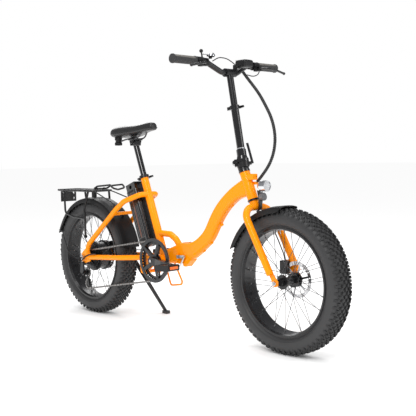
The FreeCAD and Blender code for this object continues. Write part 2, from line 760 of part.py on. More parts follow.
def battery():
    """Battery case behind the seat tube, with a pierced carrying grip on top."""

    def slab(low, high, front, back, half):
        return placed_on_seat(Part.makeBox(back - front, 2 * half, high - low, point(-back, -half, low)))

    body = slab(BATTERY_LOW, BATTERY_SHOULDER, BATTERY_FRONT, BATTERY_BACK, BATTERY_HALF)
    body = body.makeFillet(10, [e for e in body.Edges if abs(e.tangentAt(0).dot(SEAT_AXIS)) > 0.9])
    grip = slab(BATTERY_SHOULDER, BATTERY_TOP, BATTERY_FRONT + 8, BATTERY_BACK, BATTERY_HALF - 8)
    hole = rod(on_seat(BATTERY_TOP - 17, 78, -60), on_seat(BATTERY_TOP - 17, 78, 60), 9)
    save("battery_pack", fused([body, grip]).cut(hole))
    rail = slab(BATTERY_LOW - 6, BATTERY_SHOULDER - 40, SEAT_TUBE_R - 4, BATTERY_FRONT - 0.3, 14)
    cradle = slab(BATTERY_LOW - 14, BATTERY_LOW - 0.3, SEAT_TUBE_R - 4, BATTERY_BACK - 8, BATTERY_HALF - 4)
    return fused([rail, cradle]).cut([seat_tube(), gusset_tube()])


def placed_on_seat(shape):
    """Move a shape drawn upright at the origin onto the seat tube's axis."""
    shape.rotate(point(0, 0, 0), LEFT, SEAT_ANGLE - 90)
    shape.translate(BOTTOM_BRACKET)
    return shape


def seat_post():
    """Post with a two-bolt rail clamp on top."""
    top = on_seat(558)
    post = rod(on_seat(240), top, SEAT_POST_R)
    head = eased((top.x - 24, -15, top.z - 14), (top.x + 24, 15, top.z + 10), 4)
    rail_clamp = eased((top.x - 18, -30, top.z + 10.5), (top.x + 18, 30, top.z + 21), 3)
    ears = rod(point(top.x, -27, top.z + 6), point(top.x, 27, top.z + 6), 10)
    save("seat_post", fused([post, head, rail_clamp, ears]).cut(both_sides(saddle_rail())))


def saddle_rail():
    """Left rail, from the rear spring through the clamp to the nose."""
    level = on_seat(558).z + 16
    corners = [
        point(-356, 44, 826), point(-330, 26, level - 1), point(-270, 21, level), point(-250, 19, level + 3),
        point(-222, 13, 880),
    ]
    return tube(corners, SADDLE_RAIL_R, 12)


def saddle():
    """Padded seat on two rails, with an elastomer spring under each rear corner."""
    cushion = lofted(SADDLE, 0.45)
    base = point(-362, 46, 0)
    spring = [rod(base + UP * low, base + UP * high, radius)
              for low, high, radius in ((815, 829, 17), (829, 836, 13), (836, 862, 17))]
    side = fused([saddle_rail()] + spring)
    save("saddle", fused([cushion] + both_sides(side)))


def mudguard(name, axle, start, end, extras):
    """Curved blade about a wheel, between two angles from the forward direction."""
    outer = [(-50, 278), (-46, 284.5), (-24, 288.5), (24, 288.5), (46, 284.5), (50, 278)]
    inner = [(y * 0.955, radius - 2.2) for y, radius in reversed(outer)]
    corners = [point(axle.x, y, axle.z + radius) for y, radius in outer + inner]
    face = Part.Face(Part.makePolygon(corners + corners[:1]))
    face.rotate(axle, LEFT, 90 - start)
    blade = face.revolve(axle, LEFT, start - end)
    save(name, fused([blade] + extras))


def on_wheel(axle, radius, degrees, y=0.0):
    turn = math.radians(degrees)
    return point(axle.x + radius * math.cos(turn), y, axle.z + radius * math.sin(turn))


def rear_mudguard():
    stay = tube(
        [point(-640, 82, 272), point(-690, 76, 268), point(-772, 68, 296), point(-838, 56, 392),
         on_wheel(REAR_AXLE, 283, 156, 49)],
        2.0, 24,
    )
    eye = rod(point(-640, 80.3, 272), point(-640, 84, 272), 5)
    tab = rod(on_wheel(REAR_AXLE, 287, 43), on_wheel(REAR_AXLE, 317, 43), 5)
    hanger = block((-640, -8, 565), (-620, 8, 592))
    mudguard("rear_mudguard", REAR_AXLE, 159, 12, both_sides(fused([stay, eye])) + [tab, hanger])


def front_mudguard():
    boss = rod(on_wheel(FRONT_AXLE, 287, 119.6), on_wheel(FRONT_AXLE, 303.5, 119.6), 7)
    mudguard("front_mudguard", FRONT_AXLE, 157, 88, [boss])


def on_rack(x, y):
    return point(x, y, RACK_Z)


def rear_rack():
    """Tubular carrier: closed platform, braced legs to the seat stays, struts at the front."""
    corners = [on_rack(-560, -20), on_rack(-560, -RACK_HALF), on_rack(-868, -RACK_HALF)]
    corners += [on_rack(-868, RACK_HALF), on_rack(-560, RACK_HALF), on_rack(-560, 20)]
    rail = tube(corners, 5, 22)
    front_bar = rod(on_rack(-560, -30), on_rack(-560, 30), 5)
    rungs = [rod(on_rack(x, -RACK_HALF), on_rack(x, RACK_HALF), 4) for x in (-630, -710, -790)]
    slats = [rod(on_rack(-868, y), on_rack(-560, y), 3.5) for y in (-22, 22)]
    front_leg = tube(
        [on_rack(-592, RACK_HALF), point(-606, 78, 510), point(-598, 80, 460), point(-598, 80, 384)], 5.5, 50
    )
    rear_leg = tube(
        [on_rack(-800, RACK_HALF), point(-786, 68, 486), point(-700, 74, 470), point(-602, 79, 466)], 5.0, 26
    )
    foot = across(point(-598, 0, 380), 8, 74.5, 84)
    frame_lug = tube([point(-548, STAY_Y - 2, 361), point(-597, STAY_Y - 2, 381)], 4)
    bolt = across(point(-598, 0, 380), 3, 72, 88)
    strut = tube([on_rack(-562, 46), point(-540, 52, 594), point(-372, 74, 546)], 3, 30)
    lug = rod(point(-372, 74, 546), point(-366, 77, 533), 5)
    side = fused([front_leg, rear_leg, foot, bolt, strut, lug]).cut(stay_tube())
    platform = fused([rail, front_bar] + rungs + slats + clip_eyes())
    save("rear_rack", [platform] + both_sides(side.cut(platform)))


def tail_light():
    """Lamp on a pierced plate that hangs from the back of the carrier."""
    sheet = plate([(-858, 540), (-855, 540), (-855, 595.2), (-858, 595.2)], -46, 46)
    holes = [rod(point(-870, y, z), point(-850, y, z), 6) for y in (-30, 30) for z in (556, 582)]
    body = eased((-880, -34, 548), (-857, 34, 584), 5)
    lens = block((-884, -28, 554), (-880.05, 28, 578))
    save("tail_light", [fused([sheet.cut(holes), body]), lens])


def rack_clip():
    """Sprung wire clip hinged on the front of the carrier."""
    left = [CLIP_PIVOT, CLIP_PIVOT + LEFT * 40, point(-548, 38, 623), point(-448, 36, 631)]
    left += [point(-428, 35, 616), point(-436, 0, 608)]
    wire = tube(left, CLIP_WIRE_R, (10, 14, 9, 9))
    save("rack_clip", fused(both_sides(wire)))


def clip_eyes():
    """Eyes on the carrier that hold the clip's cross bar."""
    return [across(CLIP_PIVOT, 6, y - 4, y + 4, CLIP_WIRE_R + FIT) for y in (-22, 22)]


def stand_leg(root):
    """Tapered oval bar from the pivot to the foot."""
    run = (STAND_FOOT - root).normalize()
    side = run.cross(STAND_AXIS).normalize()
    rise = side.cross(run)
    rings = []
    for share, wide, thick in ((0.0, 24, 15), (0.5, 21, 13), (1.0, 17, 12)):
        hub = root + (STAND_FOOT - root) * share
        ring = Part.Ellipse(hub + side * (wide / 2), hub + rise * (thick / 2), hub)
        rings.append(Part.Wire(ring.toShape()))
    return Part.makeLoft(rings, True, True)


def kickstand():
    """Side stand on the left chain stay, hinged on a raked pin."""
    inner = STAND_PIVOT + STAND_AXIS * 8.3
    outer = STAND_PIVOT + STAND_AXIS * 20
    barrel = rod(inner, outer, 11)
    root = STAND_PIVOT + STAND_AXIS * 14
    leg = stand_leg(root)
    foot = block((STAND_FOOT.x - 14, STAND_FOOT.y - 12, 0), (STAND_FOOT.x + 22, STAND_FOOT.y + 12, 14))
    foot = foot.makeFillet(4, [e for e in foot.Edges if abs(e.tangentAt(0).z) > 0.9])
    bore = rod(STAND_PIVOT, STAND_PIVOT + STAND_AXIS * 18, STAND_PIN_R + FIT)
    ear_room = rod(STAND_PIVOT - STAND_AXIS * 9, STAND_PIVOT + STAND_AXIS * 8.3, 14)
    save("kickstand", fused([barrel, leg, foot]).cut([bore, ear_room]))


def stand_bracket():
    clamp = eased((-458, 63, 272), (-422, 91, 306), 4)
    ear = rod(STAND_PIVOT - STAND_AXIS * 8, STAND_PIVOT + STAND_AXIS * 8, 10)
    neck = block((-450, 76, 256), (-430, 90, 276))
    pin = rod(STAND_PIVOT, STAND_PIVOT + STAND_AXIS * 18, STAND_PIN_R)
    return fused([clamp, ear, neck, pin]).cut(stay_tube())


def frame_fittings():
    save("frame_fittings", [seat_clamp(), battery(), stand_bracket()])


def caliper_body(low, high, axle):
    """Disc brake caliper: a block with a slot over the disc."""
    return eased(low, high, 4).cut(across(axle, ROTOR_R + SLOT_GAP, DISC_Y - 0.8, DISC_Y + 3.2))


def rear_caliper():
    body = caliper_body((-582, 46, 308), (-542, 64.4, 350), REAR_AXLE)
    lug = block((-576, 58, 300), (-556, 66, 316)).cut(across(REAR_AXLE, ROTOR_R + SLOT_GAP, 40, 70))
    hose = tube(
        [point(-541, 58, 330), point(-500, 60, 330), point(-440, 64, 322),
         point(-380, 66, 318), point(-320, 62, 322), point(-262, 42, 322)],
        HOSE_R, 40,
    )
    save("rear_caliper", [fused([body, lug]), hose])


# ---------------------------------------------------------------- front half of the frame

def head_tube():
    return rod(on_steer(HEAD_LOW), on_steer(HEAD_HIGH), HEAD_R)


def beam_shape():
    return lofted(BEAM, 0.36)


def main_beam():
    """Curved low-step beam with the head tube, carrier block and cable guides."""
    shell = beam_shape().cut(lofted(BEAM[1:-2], 0.36, BEAM_WALL))
    carrier = eased((415, -14, 663), (CARRIER_FACE_X, 14, 687), 3)
    guides = [
        rod(point(x - 5, 0, z - 3), point(x + 5, 0, z + 3), 5)
        for x, z in ((326, 556), (266, 476), (204, 396), (158, 360))
    ]
    cable_port = eased((424, 8, 644), (446, 30, 655.5), 3)
    whole = fused([shell, head_tube(), carrier, cable_port] + guides)
    whole = whole.cut(rod(on_steer(HEAD_LOW - 5), on_steer(HEAD_HIGH + 5), HEAD_BORE_R))
    for y in (-8, 8):
        start = point(CARRIER_FACE_X - 12, y, 675)
        whole = whole.cut(rod(start, start + point(20, 0, 0), 2.5))
    save("main_beam", whole)
    cups = []
    for low, high in ((HEAD_LOW - CUP_HEIGHT, HEAD_LOW), (HEAD_HIGH, HEAD_HIGH + CUP_HEIGHT)):
        cups.append(rod(on_steer(low), on_steer(high), 23, STEERER_R + FIT))
    save("headset_cups", cups)


# ---------------------------------------------------------------- steering
def fork():
    """Unicrown fork: one bent tube makes both legs, with the steerer in its middle."""
    foot = point(600, FORK_Y, 311)
    corner = point(459, FORK_Y, 557)
    legs = tube([foot, corner, point(459, -FORK_Y, 557), point(600, -FORK_Y, 311)], FORK_R, 58)
    crown = rod(on_steer(-84), on_steer(HEAD_LOW - CUP_HEIGHT - 0.3), 19)
    steerer = rod(on_steer(-84), on_steer(STEERER_TOP), STEERER_R)
    hook = [(586, 312), (604, 318), (618, 300), (630, 286), (630, 270), (621, 265), (606, 268), (600, 290)]
    ends = [plate(hook, *sorted((side * 67.5, side * 73.5))) for side in (1, -1)]
    caliper_tab = plate([(552, 350), (580, 350), (600, 318), (586, 296), (566, 300)], 66, 72)
    whole = fused([legs, crown, steerer, caliper_tab] + ends)
    hollow = rod(on_steer(-60), on_steer(STEERER_TOP + 1), STEERER_R - 2.5)
    save("fork", whole.cut(across(FRONT_AXLE, 5, -100, 100)).cut(hollow))


def front_caliper():
    body = caliper_body((538, 43, 296), (576, 65.9, 348), FRONT_AXLE)
    hose = tube(
        [point(556, 58, 347), point(548, 58, 374), point(520, 60, 424), point(478, 61, 494),
         point(440, 56, 548), point(436, 40, 590), point(452, 16, 620)],
        HOSE_R, 34,
    )
    save("front_caliper", [body, hose])


def headlight():
    """Lamp on a crown bracket, with a small horn below it."""
    bracket = plate([(478.5, 546), (482, 546), (487, 584), (487, 618), (478, 622), (478, 590)], -8, 8)
    arm = rod(point(480, 0, 612), point(484, 0, 632), 6)
    bowl = Part.makeCone(12, 20, 14, point(476, 0, 640), point(1, 0, 0))
    barrel = rod(point(490, 0, 640), point(514, 0, 640), 21.5)
    trim = rod(point(514, 0, 640), point(519, 0, 640), 21.5, 19)
    lens = rod(point(514.05, 0, 640), point(517, 0, 640), 18.9)
    horn = rod(point(487.2, 0, 597), point(502, 0, 599), 15.5)
    save("headlight", [fused([bracket, arm, bowl, barrel, trim]), lens, horn])


# ---------------------------------------------------------------- folding handlepost
STEM_SIDE = point(-0.7071, -0.7071, 0)
STEM_OUT = (STEM_SIDE - POST_AXIS * STEM_SIDE.dot(POST_AXIS)).normalize()
STEM_PIN = POST_BASE + STEM_OUT * STEM_PIN_OFFSET
STEM_PIN_AXIS = POST_AXIS.cross(STEM_OUT)
STEM_LATCH = POST_BASE - STEM_OUT * 31 - POST_AXIS * 9


def stem_knuckle(low, high, radius):
    return rod(STEM_PIN + STEM_PIN_AXIS * low, STEM_PIN + STEM_PIN_AXIS * high, radius)


def stem_web(low, high, bottom, top):
    """Block from the post's axis to the pin, between two stations along the pin."""
    corners = []
    for along, out in ((low, -STEM_PIN_OFFSET), (high, -STEM_PIN_OFFSET), (high, 0), (low, 0)):
        corners.append(STEM_PIN + STEM_PIN_AXIS * along + STEM_OUT * out + POST_AXIS * bottom)
    face = Part.Face(Part.makePolygon(corners + corners[:1]))
    return face.extrude(POST_AXIS * (top - bottom))


def stem_base():
    clamp = rod(on_steer(HEAD_HIGH + CUP_HEIGHT + 0.3), on_steer(100), 22)
    flange = rod(on_post(-22), on_post(-STEM_GAP), FLANGE_RADIUS)
    web = stem_web(-12, 12, -16, -STEM_GAP)
    barrel = stem_knuckle(-12, 12, 8)
    whole = fused([clamp, flange, web, barrel, latch_ear(9), latch_ear(-13)])
    ends = [stem_knuckle(12, 24, 8.8), stem_knuckle(-24, -12, 8.8)]
    whole = whole.cut(ends).cut(rod(on_steer(60), on_steer(STEERER_TOP), STEERER_R))
    whole = whole.cut(stem_knuckle(-30, 30, STEM_PIN_R + FIT))
    save("stem_base", whole)


def handlepost():
    """Lower post with its half of the folding joint and the clamp for the sliding post."""
    flange = rod(on_post(STEM_GAP), on_post(12), FLANGE_RADIUS)
    cone = Part.makeCone(FLANGE_RADIUS - 2, POST_R + 4, 12, on_post(12), POST_AXIS)
    neck = rod(on_post(20), on_post(50), 19.5)
    pipe = rod(on_post(10), on_post(POST_TOP), POST_R)
    collar = rod(on_post(POST_TOP - 13), on_post(POST_TOP + 3), 19.5)
    lug = Part.makeBox(18, 18, 13, point(-34, -9, -12))
    lug.rotate(point(0, 0, 0), LEFT, POST_ANGLE - 90)
    lug.translate(on_post(POST_TOP + 2))
    webs = [stem_web(12.3, 24, STEM_GAP, 11), stem_web(-24, -12.3, STEM_GAP, 11)]
    ends = [stem_knuckle(12.3, 24, 8), stem_knuckle(-24, -12.3, 8)]
    outside = fused([flange, cone, neck, pipe, collar, lug] + webs + ends)
    outside = outside.cut([stem_knuckle(-12.3, 12.3, 8.8), stem_knuckle(-24, 24, STEM_PIN_R)])
    bolt = rod(post_cam_pivot() - LEFT * 42, post_cam_pivot() - LEFT * 7.5, 3)
    whole = fused([outside, bolt]).cut(rod(on_post(36), on_post(POST_TOP + 10), INNER_POST_R + FIT))
    save("handlepost", [whole, stem_knuckle(-24, 24, STEM_PIN_R)])


def latch_ear(low):
    """Ear on the flange that holds one end of the latch's pin."""
    root = STEM_LATCH + STEM_PIN_AXIS * low
    knob = Part.makeCylinder(6, 4, root, STEM_PIN_AXIS)
    corners = [root + POST_AXIS * 6, root - POST_AXIS * 6]
    corners += [c + STEM_OUT * 12 for c in reversed(corners)]
    arm = Part.Face(Part.makePolygon(corners + corners[:1])).extrude(STEM_PIN_AXIS * 4)
    return knob.fuse(arm)


def stem_latch_lever():
    """Long cam lever on the base that lies up the front of the post."""
    outward = STEM_OUT * -1
    barrel = rod(STEM_LATCH - STEM_PIN_AXIS * 8.6, STEM_LATCH + STEM_PIN_AXIS * 8.6, 5.6)
    foot = STEM_LATCH + outward * 2 - POST_AXIS * 3
    head = foot + POST_AXIS * 84 - outward * 10
    low_side, high_side = STEM_PIN_AXIS * 8, STEM_PIN_AXIS * 7
    corners = [foot - low_side, foot + low_side, head + high_side, head - high_side]
    blade = Part.Face(Part.makePolygon(corners + corners[:1])).extrude(outward * 10)
    blade = blade.makeFillet(3, [e for e in blade.Edges if e.Length > 60])
    save("stem_latch_lever", fused([barrel, blade]))


def post_cam_pivot():
    return on_post(POST_TOP - 7) + point(-25, 26, 0)


def post_clamp_lever():
    save("post_clamp_lever", cam_lever(post_cam_pivot(), POST_AXIS, point(46, 3, 8), 14))


# ---------------------------------------------------------------- handlebar


def bar_tube():
    """Riser bar, bent down to a straight middle."""
    half = [point(BAR_MID.x, 42, BAR_MID.z), point(BAR_X, 118, BAR_Z), point(BAR_X, BAR_HALF - 3, BAR_Z)]
    other = [point(p.x, -p.y, p.z) for p in reversed(half)]
    return tube(other + half, BAR_R, 38)


def handlebar():
    """Riser bar welded to the sliding inner post."""
    sleeve = across(BAR_MID, 17, -24, 24)
    post = rod(on_post(160), on_post(354), INNER_POST_R)
    save("handlebar", fused([bar_tube(), sleeve, post]))


def grips():
    """Rubber grips with a closed outer flange."""
    profile = [
        (GRIP_IN, BAR_R), (GRIP_IN, 18), (GRIP_IN + 4, 18), (GRIP_IN + 8, GRIP_R), (BAR_HALF - 8, GRIP_R),
        (BAR_HALF - 5, 18.5), (BAR_HALF, 18), (BAR_HALF, 0), (BAR_HALF - 2.9, 0), (BAR_HALF - 2.9, BAR_R),
    ]
    left = turned(profile, BAR_LINE)
    save("grips", both_sides(left))


def lever_body():
    """Clamp and perch of the left brake lever."""
    clamp = across(BAR_LINE, 17, 148, 168)
    perch = block((BAR_X + 8, 149, 1106.5), (LEVER_PIVOT.x + 2, 167, 1129.5))
    gap = block((LEVER_PIVOT.x - 9, 130, 1111.5), (LEVER_PIVOT.x + 20, 190, 1124.5))
    pin = rod(LEVER_PIVOT - UP * 8, LEVER_PIVOT + UP * 8, LEVER_PIN_R)
    return fused([clamp, perch.cut(gap), pin]).cut(across(BAR_LINE, BAR_R, 118, 170))


def brake_levers():
    barrel = rod(LEVER_PIVOT - UP * 6, LEVER_PIVOT + UP * 6, 7)
    blade = tube([LEVER_PIVOT, point(372, 178, 1116), point(384, 210, 1110), point(382, 262, 1099)], 4.6, 24)
    tip = Part.makeSphere(6, point(382, 262, 1099))
    bore = rod(LEVER_PIVOT - UP * 20, LEVER_PIVOT + UP * 20, LEVER_PIN_R + FIT)
    left = fused([barrel, blade, tip]).cut(bore)
    save("left_brake_lever", left)
    save("right_brake_lever", mirrored(left))


def shifter_housing():
    clamp = across(BAR_LINE, 17, -147.6, -139.2)
    case = eased((BAR_X + 8, -147.6, BAR_Z - 20), (BAR_X + 32, -124, BAR_Z - 4), 3)
    lever_room = across(BAR_LINE, 17.4, -139.2, -110)
    return fused([clamp, case]).cut([across(BAR_LINE, BAR_R, -170, -100), lever_room])


def bell():
    """Dome on a post and a strap, with the striker's pin beside it."""
    strap = across(BAR_LINE, 14.5, -121.5, -110).cut(across(BAR_LINE, BAR_R, -130, -100))
    stand = block((BELL.x - 5, -119, BAR_Z + 9), (BELL.x + 5, -110, BELL.z))
    base = rod(BELL - UP * 3, BELL, 12)
    post = rod(BELL - UP * 2, BELL + UP * 14, 2)
    dome = Part.makeSphere(15, BELL, UP, 0, 90, 360).cut(Part.makeSphere(13.4, BELL, UP, 0, 90, 360))
    arm = rod(BELL - UP * 3, BELL_PIVOT - UP * 3, 2)
    eye = rod(BELL_PIVOT - UP * 5, BELL_PIVOT - UP * 1, 4)
    striker_pin = rod(BELL_PIVOT - UP * 6, BELL_PIVOT, BELL_PIN_R)
    return fused([strap.cut(bar_tube()), stand.cut(bar_tube()), base, post, dome, arm, eye, striker_pin])


def bar_clamps():
    """Lever perches, shifter housing and bell, each clamped on the bar."""
    perch = lever_body()
    save("bar_clamps", [perch, mirrored(perch), shifter_housing(), bell()] + bar_cables())


def bell_lever():
    """Sprung thumb striker beside the dome."""
    x, y, z = BELL_PIVOT
    eye = rod(BELL_PIVOT - UP * 0.7, BELL_PIVOT + UP * 3, 4.4)
    arm = block((x - 2, y - 20, z), (x + 2, y, z + 3))
    paddle = rod(BELL_PIVOT - LEFT * 20, BELL_PIVOT - LEFT * 20 + UP * 3, 5)
    bore = rod(BELL_PIVOT - UP * 7, BELL_PIVOT, BELL_PIN_R + FIT)
    save("bell_lever", fused([eye, arm, paddle]).cut(bore))


def thumb_lever():
    """Gear lever: a ring round the bar with a stalk and a ball."""
    ring = across(BAR_LINE, 16, -138.8, -130.8, BAR_R + FIT)
    stalk = rod(BAR_LINE + point(0, -134.6, 13), BAR_LINE + point(-2, -137, 36), 3)
    knob = Part.makeSphere(7.5, BAR_LINE + point(-2, -138, 40))
    save("shifter_lever", fused([ring, stalk, knob]))


def display():
    """Rounded display pod on the bar, left of the middle."""
    body = eased((324, 26, 1112), (384, 76, 1142), 9)
    collar = across(BAR_MID, 15, 25, 35)
    neck = block((316, 25, 1095), (334, 35, 1124))
    save("display", fused([body, neck, collar]).cut(bar_tube()))


def cable_sleeves():
    """Spiral-wrapped bundle from the handlebar to the head tube, in three lengths end to end."""
    splits = [(SLEEVE_ROUTE[i] + SLEEVE_ROUTE[i + 1]) * 0.5 for i in (3, 7)]
    ends = [SLEEVE_ROUTE[0]] + splits + [SLEEVE_ROUTE[-1]]
    spans = ((1, 4), (4, 8), (8, 12))
    for name, (first, last), start, end in zip(("top", "mid", "low"), spans, ends, ends[1:]):
        save("cable_sleeve_" + name, tube([start] + SLEEVE_ROUTE[first:last] + [end], SLEEVE_R))


def bar_cables():
    """Loose loops of brake, gear and display cable along the bar."""
    right = [point(340, -112, 1128), point(348, -86, 1144), point(352, -44, 1142), point(352, -4, 1124)]
    left = [point(345, 150, 1103), point(362, 124, 1088), point(366, 92, 1078), point(356, 66, 1084)]
    return [tube(right + [point(352, 24, 1106)], CABLE_R), tube(left, CABLE_R)]


# ---------------------------------------------------------------- build
def main():
    os.makedirs("parts", exist_ok=True)
    wheels()
    front_hub()
    hub_motor()
    chain()
    freewheel()
    jockey_wheels()
    derailleur()
    derailleur_cage()
    crankset()
    pedals()
    seat_tube_frame()
    rear_stays()
    hinge_blocks()
    frame_latch()
    frame_fittings()
    seat_clamp_lever()
    seat_post()
    saddle()
    rear_mudguard()
    front_mudguard()
    rear_rack()
    tail_light()
    rack_clip()
    kickstand()
    rear_caliper()
    main_beam()
    fork()
    front_caliper()
    headlight()
    stem_base()
    handlepost()
    stem_latch_lever()
    post_clamp_lever()
    handlebar()
    grips()
    brake_levers()
    bar_clamps()
    bell_lever()
    thumb_lever()
    display()
    cable_sleeves()


main()
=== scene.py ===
import math

import bmesh
import bpy
import numpy as np
from mathutils import Matrix, Vector


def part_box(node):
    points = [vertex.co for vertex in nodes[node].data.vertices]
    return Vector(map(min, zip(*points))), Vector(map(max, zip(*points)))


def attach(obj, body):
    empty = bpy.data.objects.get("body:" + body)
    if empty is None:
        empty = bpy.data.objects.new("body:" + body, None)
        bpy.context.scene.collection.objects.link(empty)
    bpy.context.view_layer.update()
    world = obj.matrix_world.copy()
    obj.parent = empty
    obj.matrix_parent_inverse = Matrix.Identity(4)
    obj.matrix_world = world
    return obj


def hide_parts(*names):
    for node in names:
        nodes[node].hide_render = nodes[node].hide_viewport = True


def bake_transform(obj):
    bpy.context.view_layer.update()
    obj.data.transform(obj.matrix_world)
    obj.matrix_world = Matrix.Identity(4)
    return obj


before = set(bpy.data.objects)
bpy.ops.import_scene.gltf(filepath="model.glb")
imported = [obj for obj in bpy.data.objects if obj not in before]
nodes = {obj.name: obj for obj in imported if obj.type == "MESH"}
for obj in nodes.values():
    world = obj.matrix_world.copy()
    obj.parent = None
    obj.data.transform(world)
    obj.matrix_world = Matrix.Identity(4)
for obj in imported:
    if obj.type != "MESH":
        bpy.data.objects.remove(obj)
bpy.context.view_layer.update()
scene = bpy.context.scene
scene.view_settings.view_transform = "Standard"

# ---------------------------------------------------------------- sizes, in metres
WHEEL_R = 0.279
REAR_AXLE = Vector((-0.6175, 0, WHEEL_R))
FRONT_AXLE = Vector((0.6175, 0, WHEEL_R))
BOTTOM_BRACKET = Vector((-0.098, 0, 0.304))
GUIDE_PULLEY = Vector((-0.622, 0, 0.201))
TENSION_PULLEY = Vector((-0.608, 0, 0.146))
CHAIN_PITCH = 0.0127
CHAIN_Y = -0.058
BAR_X, BAR_Z = 0.306, 1.129
BELL = (0.331, -0.109, 1.148)
BELL_R = 0.0156
POST_BASE = Vector((0.389, 0, 0.734))
POST_LEAN = math.radians(79.3)


# ---------------------------------------------------------------- materials
def finish(name, colour, rough, metal=0.0, coat=0.0, grain=(400.0, 0.0), mottle=(30.0, 0.0), gleam=0.5):
    """Procedural finish: a base colour with slow mottling, uneven roughness and a fine surface grain."""
    made = bpy.data.materials.new(name)
    made.use_nodes = True
    tree = made.node_tree
    shader = tree.nodes["Principled BSDF"]
    shader.inputs["Metallic"].default_value = metal
    shader.inputs["Coat Weight"].default_value = coat
    shader.inputs["Coat Roughness"].default_value = 0.06
    shader.inputs["Specular IOR Level"].default_value = gleam
    place = tree.nodes.new("ShaderNodeTexCoord")

    def noise(scale, detail):
        texture = tree.nodes.new("ShaderNodeTexNoise")
        texture.inputs["Scale"].default_value = scale
        texture.inputs["Detail"].default_value = detail
        tree.links.new(place.outputs["Object"], texture.inputs["Vector"])
        return texture.outputs["Fac"]

    slow = noise(mottle[0], 3.0)
    spread = tree.nodes.new("ShaderNodeMapRange")
    spread.inputs["To Min"].default_value = max(rough - 0.06, 0.02)
    spread.inputs["To Max"].default_value = min(rough + 0.06, 1.0)
    tree.links.new(slow, spread.inputs["Value"])
    tree.links.new(spread.outputs["Result"], shader.inputs["Roughness"])
    blend = tree.nodes.new("ShaderNodeMix")
    blend.data_type = "RGBA"
    blend.inputs["A"].default_value = (*[c * (1 - mottle[1]) for c in colour], 1)
    blend.inputs["B"].default_value = (*[min(c * (1 + mottle[1]), 1) for c in colour], 1)
    tree.links.new(slow, blend.inputs["Factor"])
    tree.links.new(blend.outputs["Result"], shader.inputs["Base Color"])
    if grain[1]:
        bump = tree.nodes.new("ShaderNodeBump")
        bump.inputs["Strength"].default_value = grain[1]
        bump.inputs["Distance"].default_value = 0.0006
        tree.links.new(noise(grain[0], 4.0), bump.inputs["Height"])
        tree.links.new(bump.outputs["Normal"], shader.inputs["Normal"])
    return made


orange = finish(
    "orange_paint", (1.0, 0.285, 0.0), 0.26, coat=0.2, grain=(260, 0.02), mottle=(6, 0.03), gleam=0.15,
)
black_paint = finish(
    "black_paint", (0.010, 0.010, 0.0105), 0.28, grain=(500, 0.05), mottle=(20, 0.1), gleam=0.55,
)
black_gloss = finish(
    "black_gloss", (0.005, 0.005, 0.0055), 0.12, coat=0.6, grain=(90, 0.01), mottle=(8, 0.1), gleam=0.7,
)
black_alloy = finish(
    "black_alloy", (0.008, 0.008, 0.009), 0.28, grain=(700, 0.06), mottle=(40, 0.15),
)
guard_grey = finish(
    "guard_grey", (0.035, 0.036, 0.038), 0.38, metal=0.3, grain=(600, 0.08), mottle=(30, 0.12),
)
plastic = finish(
    "black_plastic", (0.009, 0.009, 0.0095), 0.42, grain=(900, 0.08), mottle=(30, 0.1), gleam=0.35,
)
tread_rubber = finish(
    "tread_rubber", (0.024, 0.024, 0.025), 0.62, grain=(500, 0.35), mottle=(25, 0.2), gleam=0.4,
)
wall_rubber = finish(
    "sidewall_rubber", (0.030, 0.030, 0.031), 0.50, grain=(700, 0.15), mottle=(12, 0.15), gleam=0.5,
)
grip_rubber = finish("grip_rubber", (0.030, 0.030, 0.031), 0.68, grain=(1200, 0.5), mottle=(60, 0.2))
leather = finish("saddle_leather", (0.016, 0.016, 0.0165), 0.34, grain=(700, 0.05), mottle=(30, 0.15))
silver = finish("silver_alloy", (0.62, 0.63, 0.65), 0.30, metal=0.9, grain=(900, 0.1), mottle=(60, 0.06))
steel = finish("bright_steel", (0.55, 0.55, 0.56), 0.25, metal=1.0, grain=(1200, 0.05), mottle=(80, 0.08))
chrome = finish("chrome", (0.70, 0.71, 0.73), 0.07, metal=1.0, grain=(130, 0.5), mottle=(60, 0.35))
grip_grey = finish("grip_grey", (0.115, 0.108, 0.098), 0.62, grain=(1100, 0.4), mottle=(60, 0.15))
chain_steel = finish("chain_steel", (0.20, 0.19, 0.18), 0.35, metal=0.9, grain=(900, 0.2), mottle=(90, 0.3))
dark_steel = finish("dark_steel", (0.10, 0.10, 0.105), 0.38, metal=0.9, grain=(900, 0.2), mottle=(60, 0.2))
sleeve_black = finish("spiral_wrap", (0.016, 0.016, 0.017), 0.42, grain=(900, 0.1), mottle=(50, 0.15))
red_lens = finish("red_lens", (0.45, 0.010, 0.008), 0.10, coat=0.8, grain=(300, 0.02), mottle=(50, 0.1))
amber = finish("amber_reflector", (0.90, 0.16, 0.004), 0.18, coat=0.7, grain=(800, 0.5), mottle=(90, 0.15))
rust_strip = finish(
    "battery_strip", (0.16, 0.055, 0.030), 0.30, coat=0.4, grain=(300, 0.05), mottle=(18, 0.2),
)
screen_glass = finish(
    "screen_glass", (0.010, 0.012, 0.014), 0.06, coat=1.0, grain=(50, 0.005), mottle=(5, 0.05),
)
horn_grey = finish("horn_grey", (0.16, 0.16, 0.165), 0.42, metal=0.3, grain=(600, 0.1), mottle=(30, 0.1))

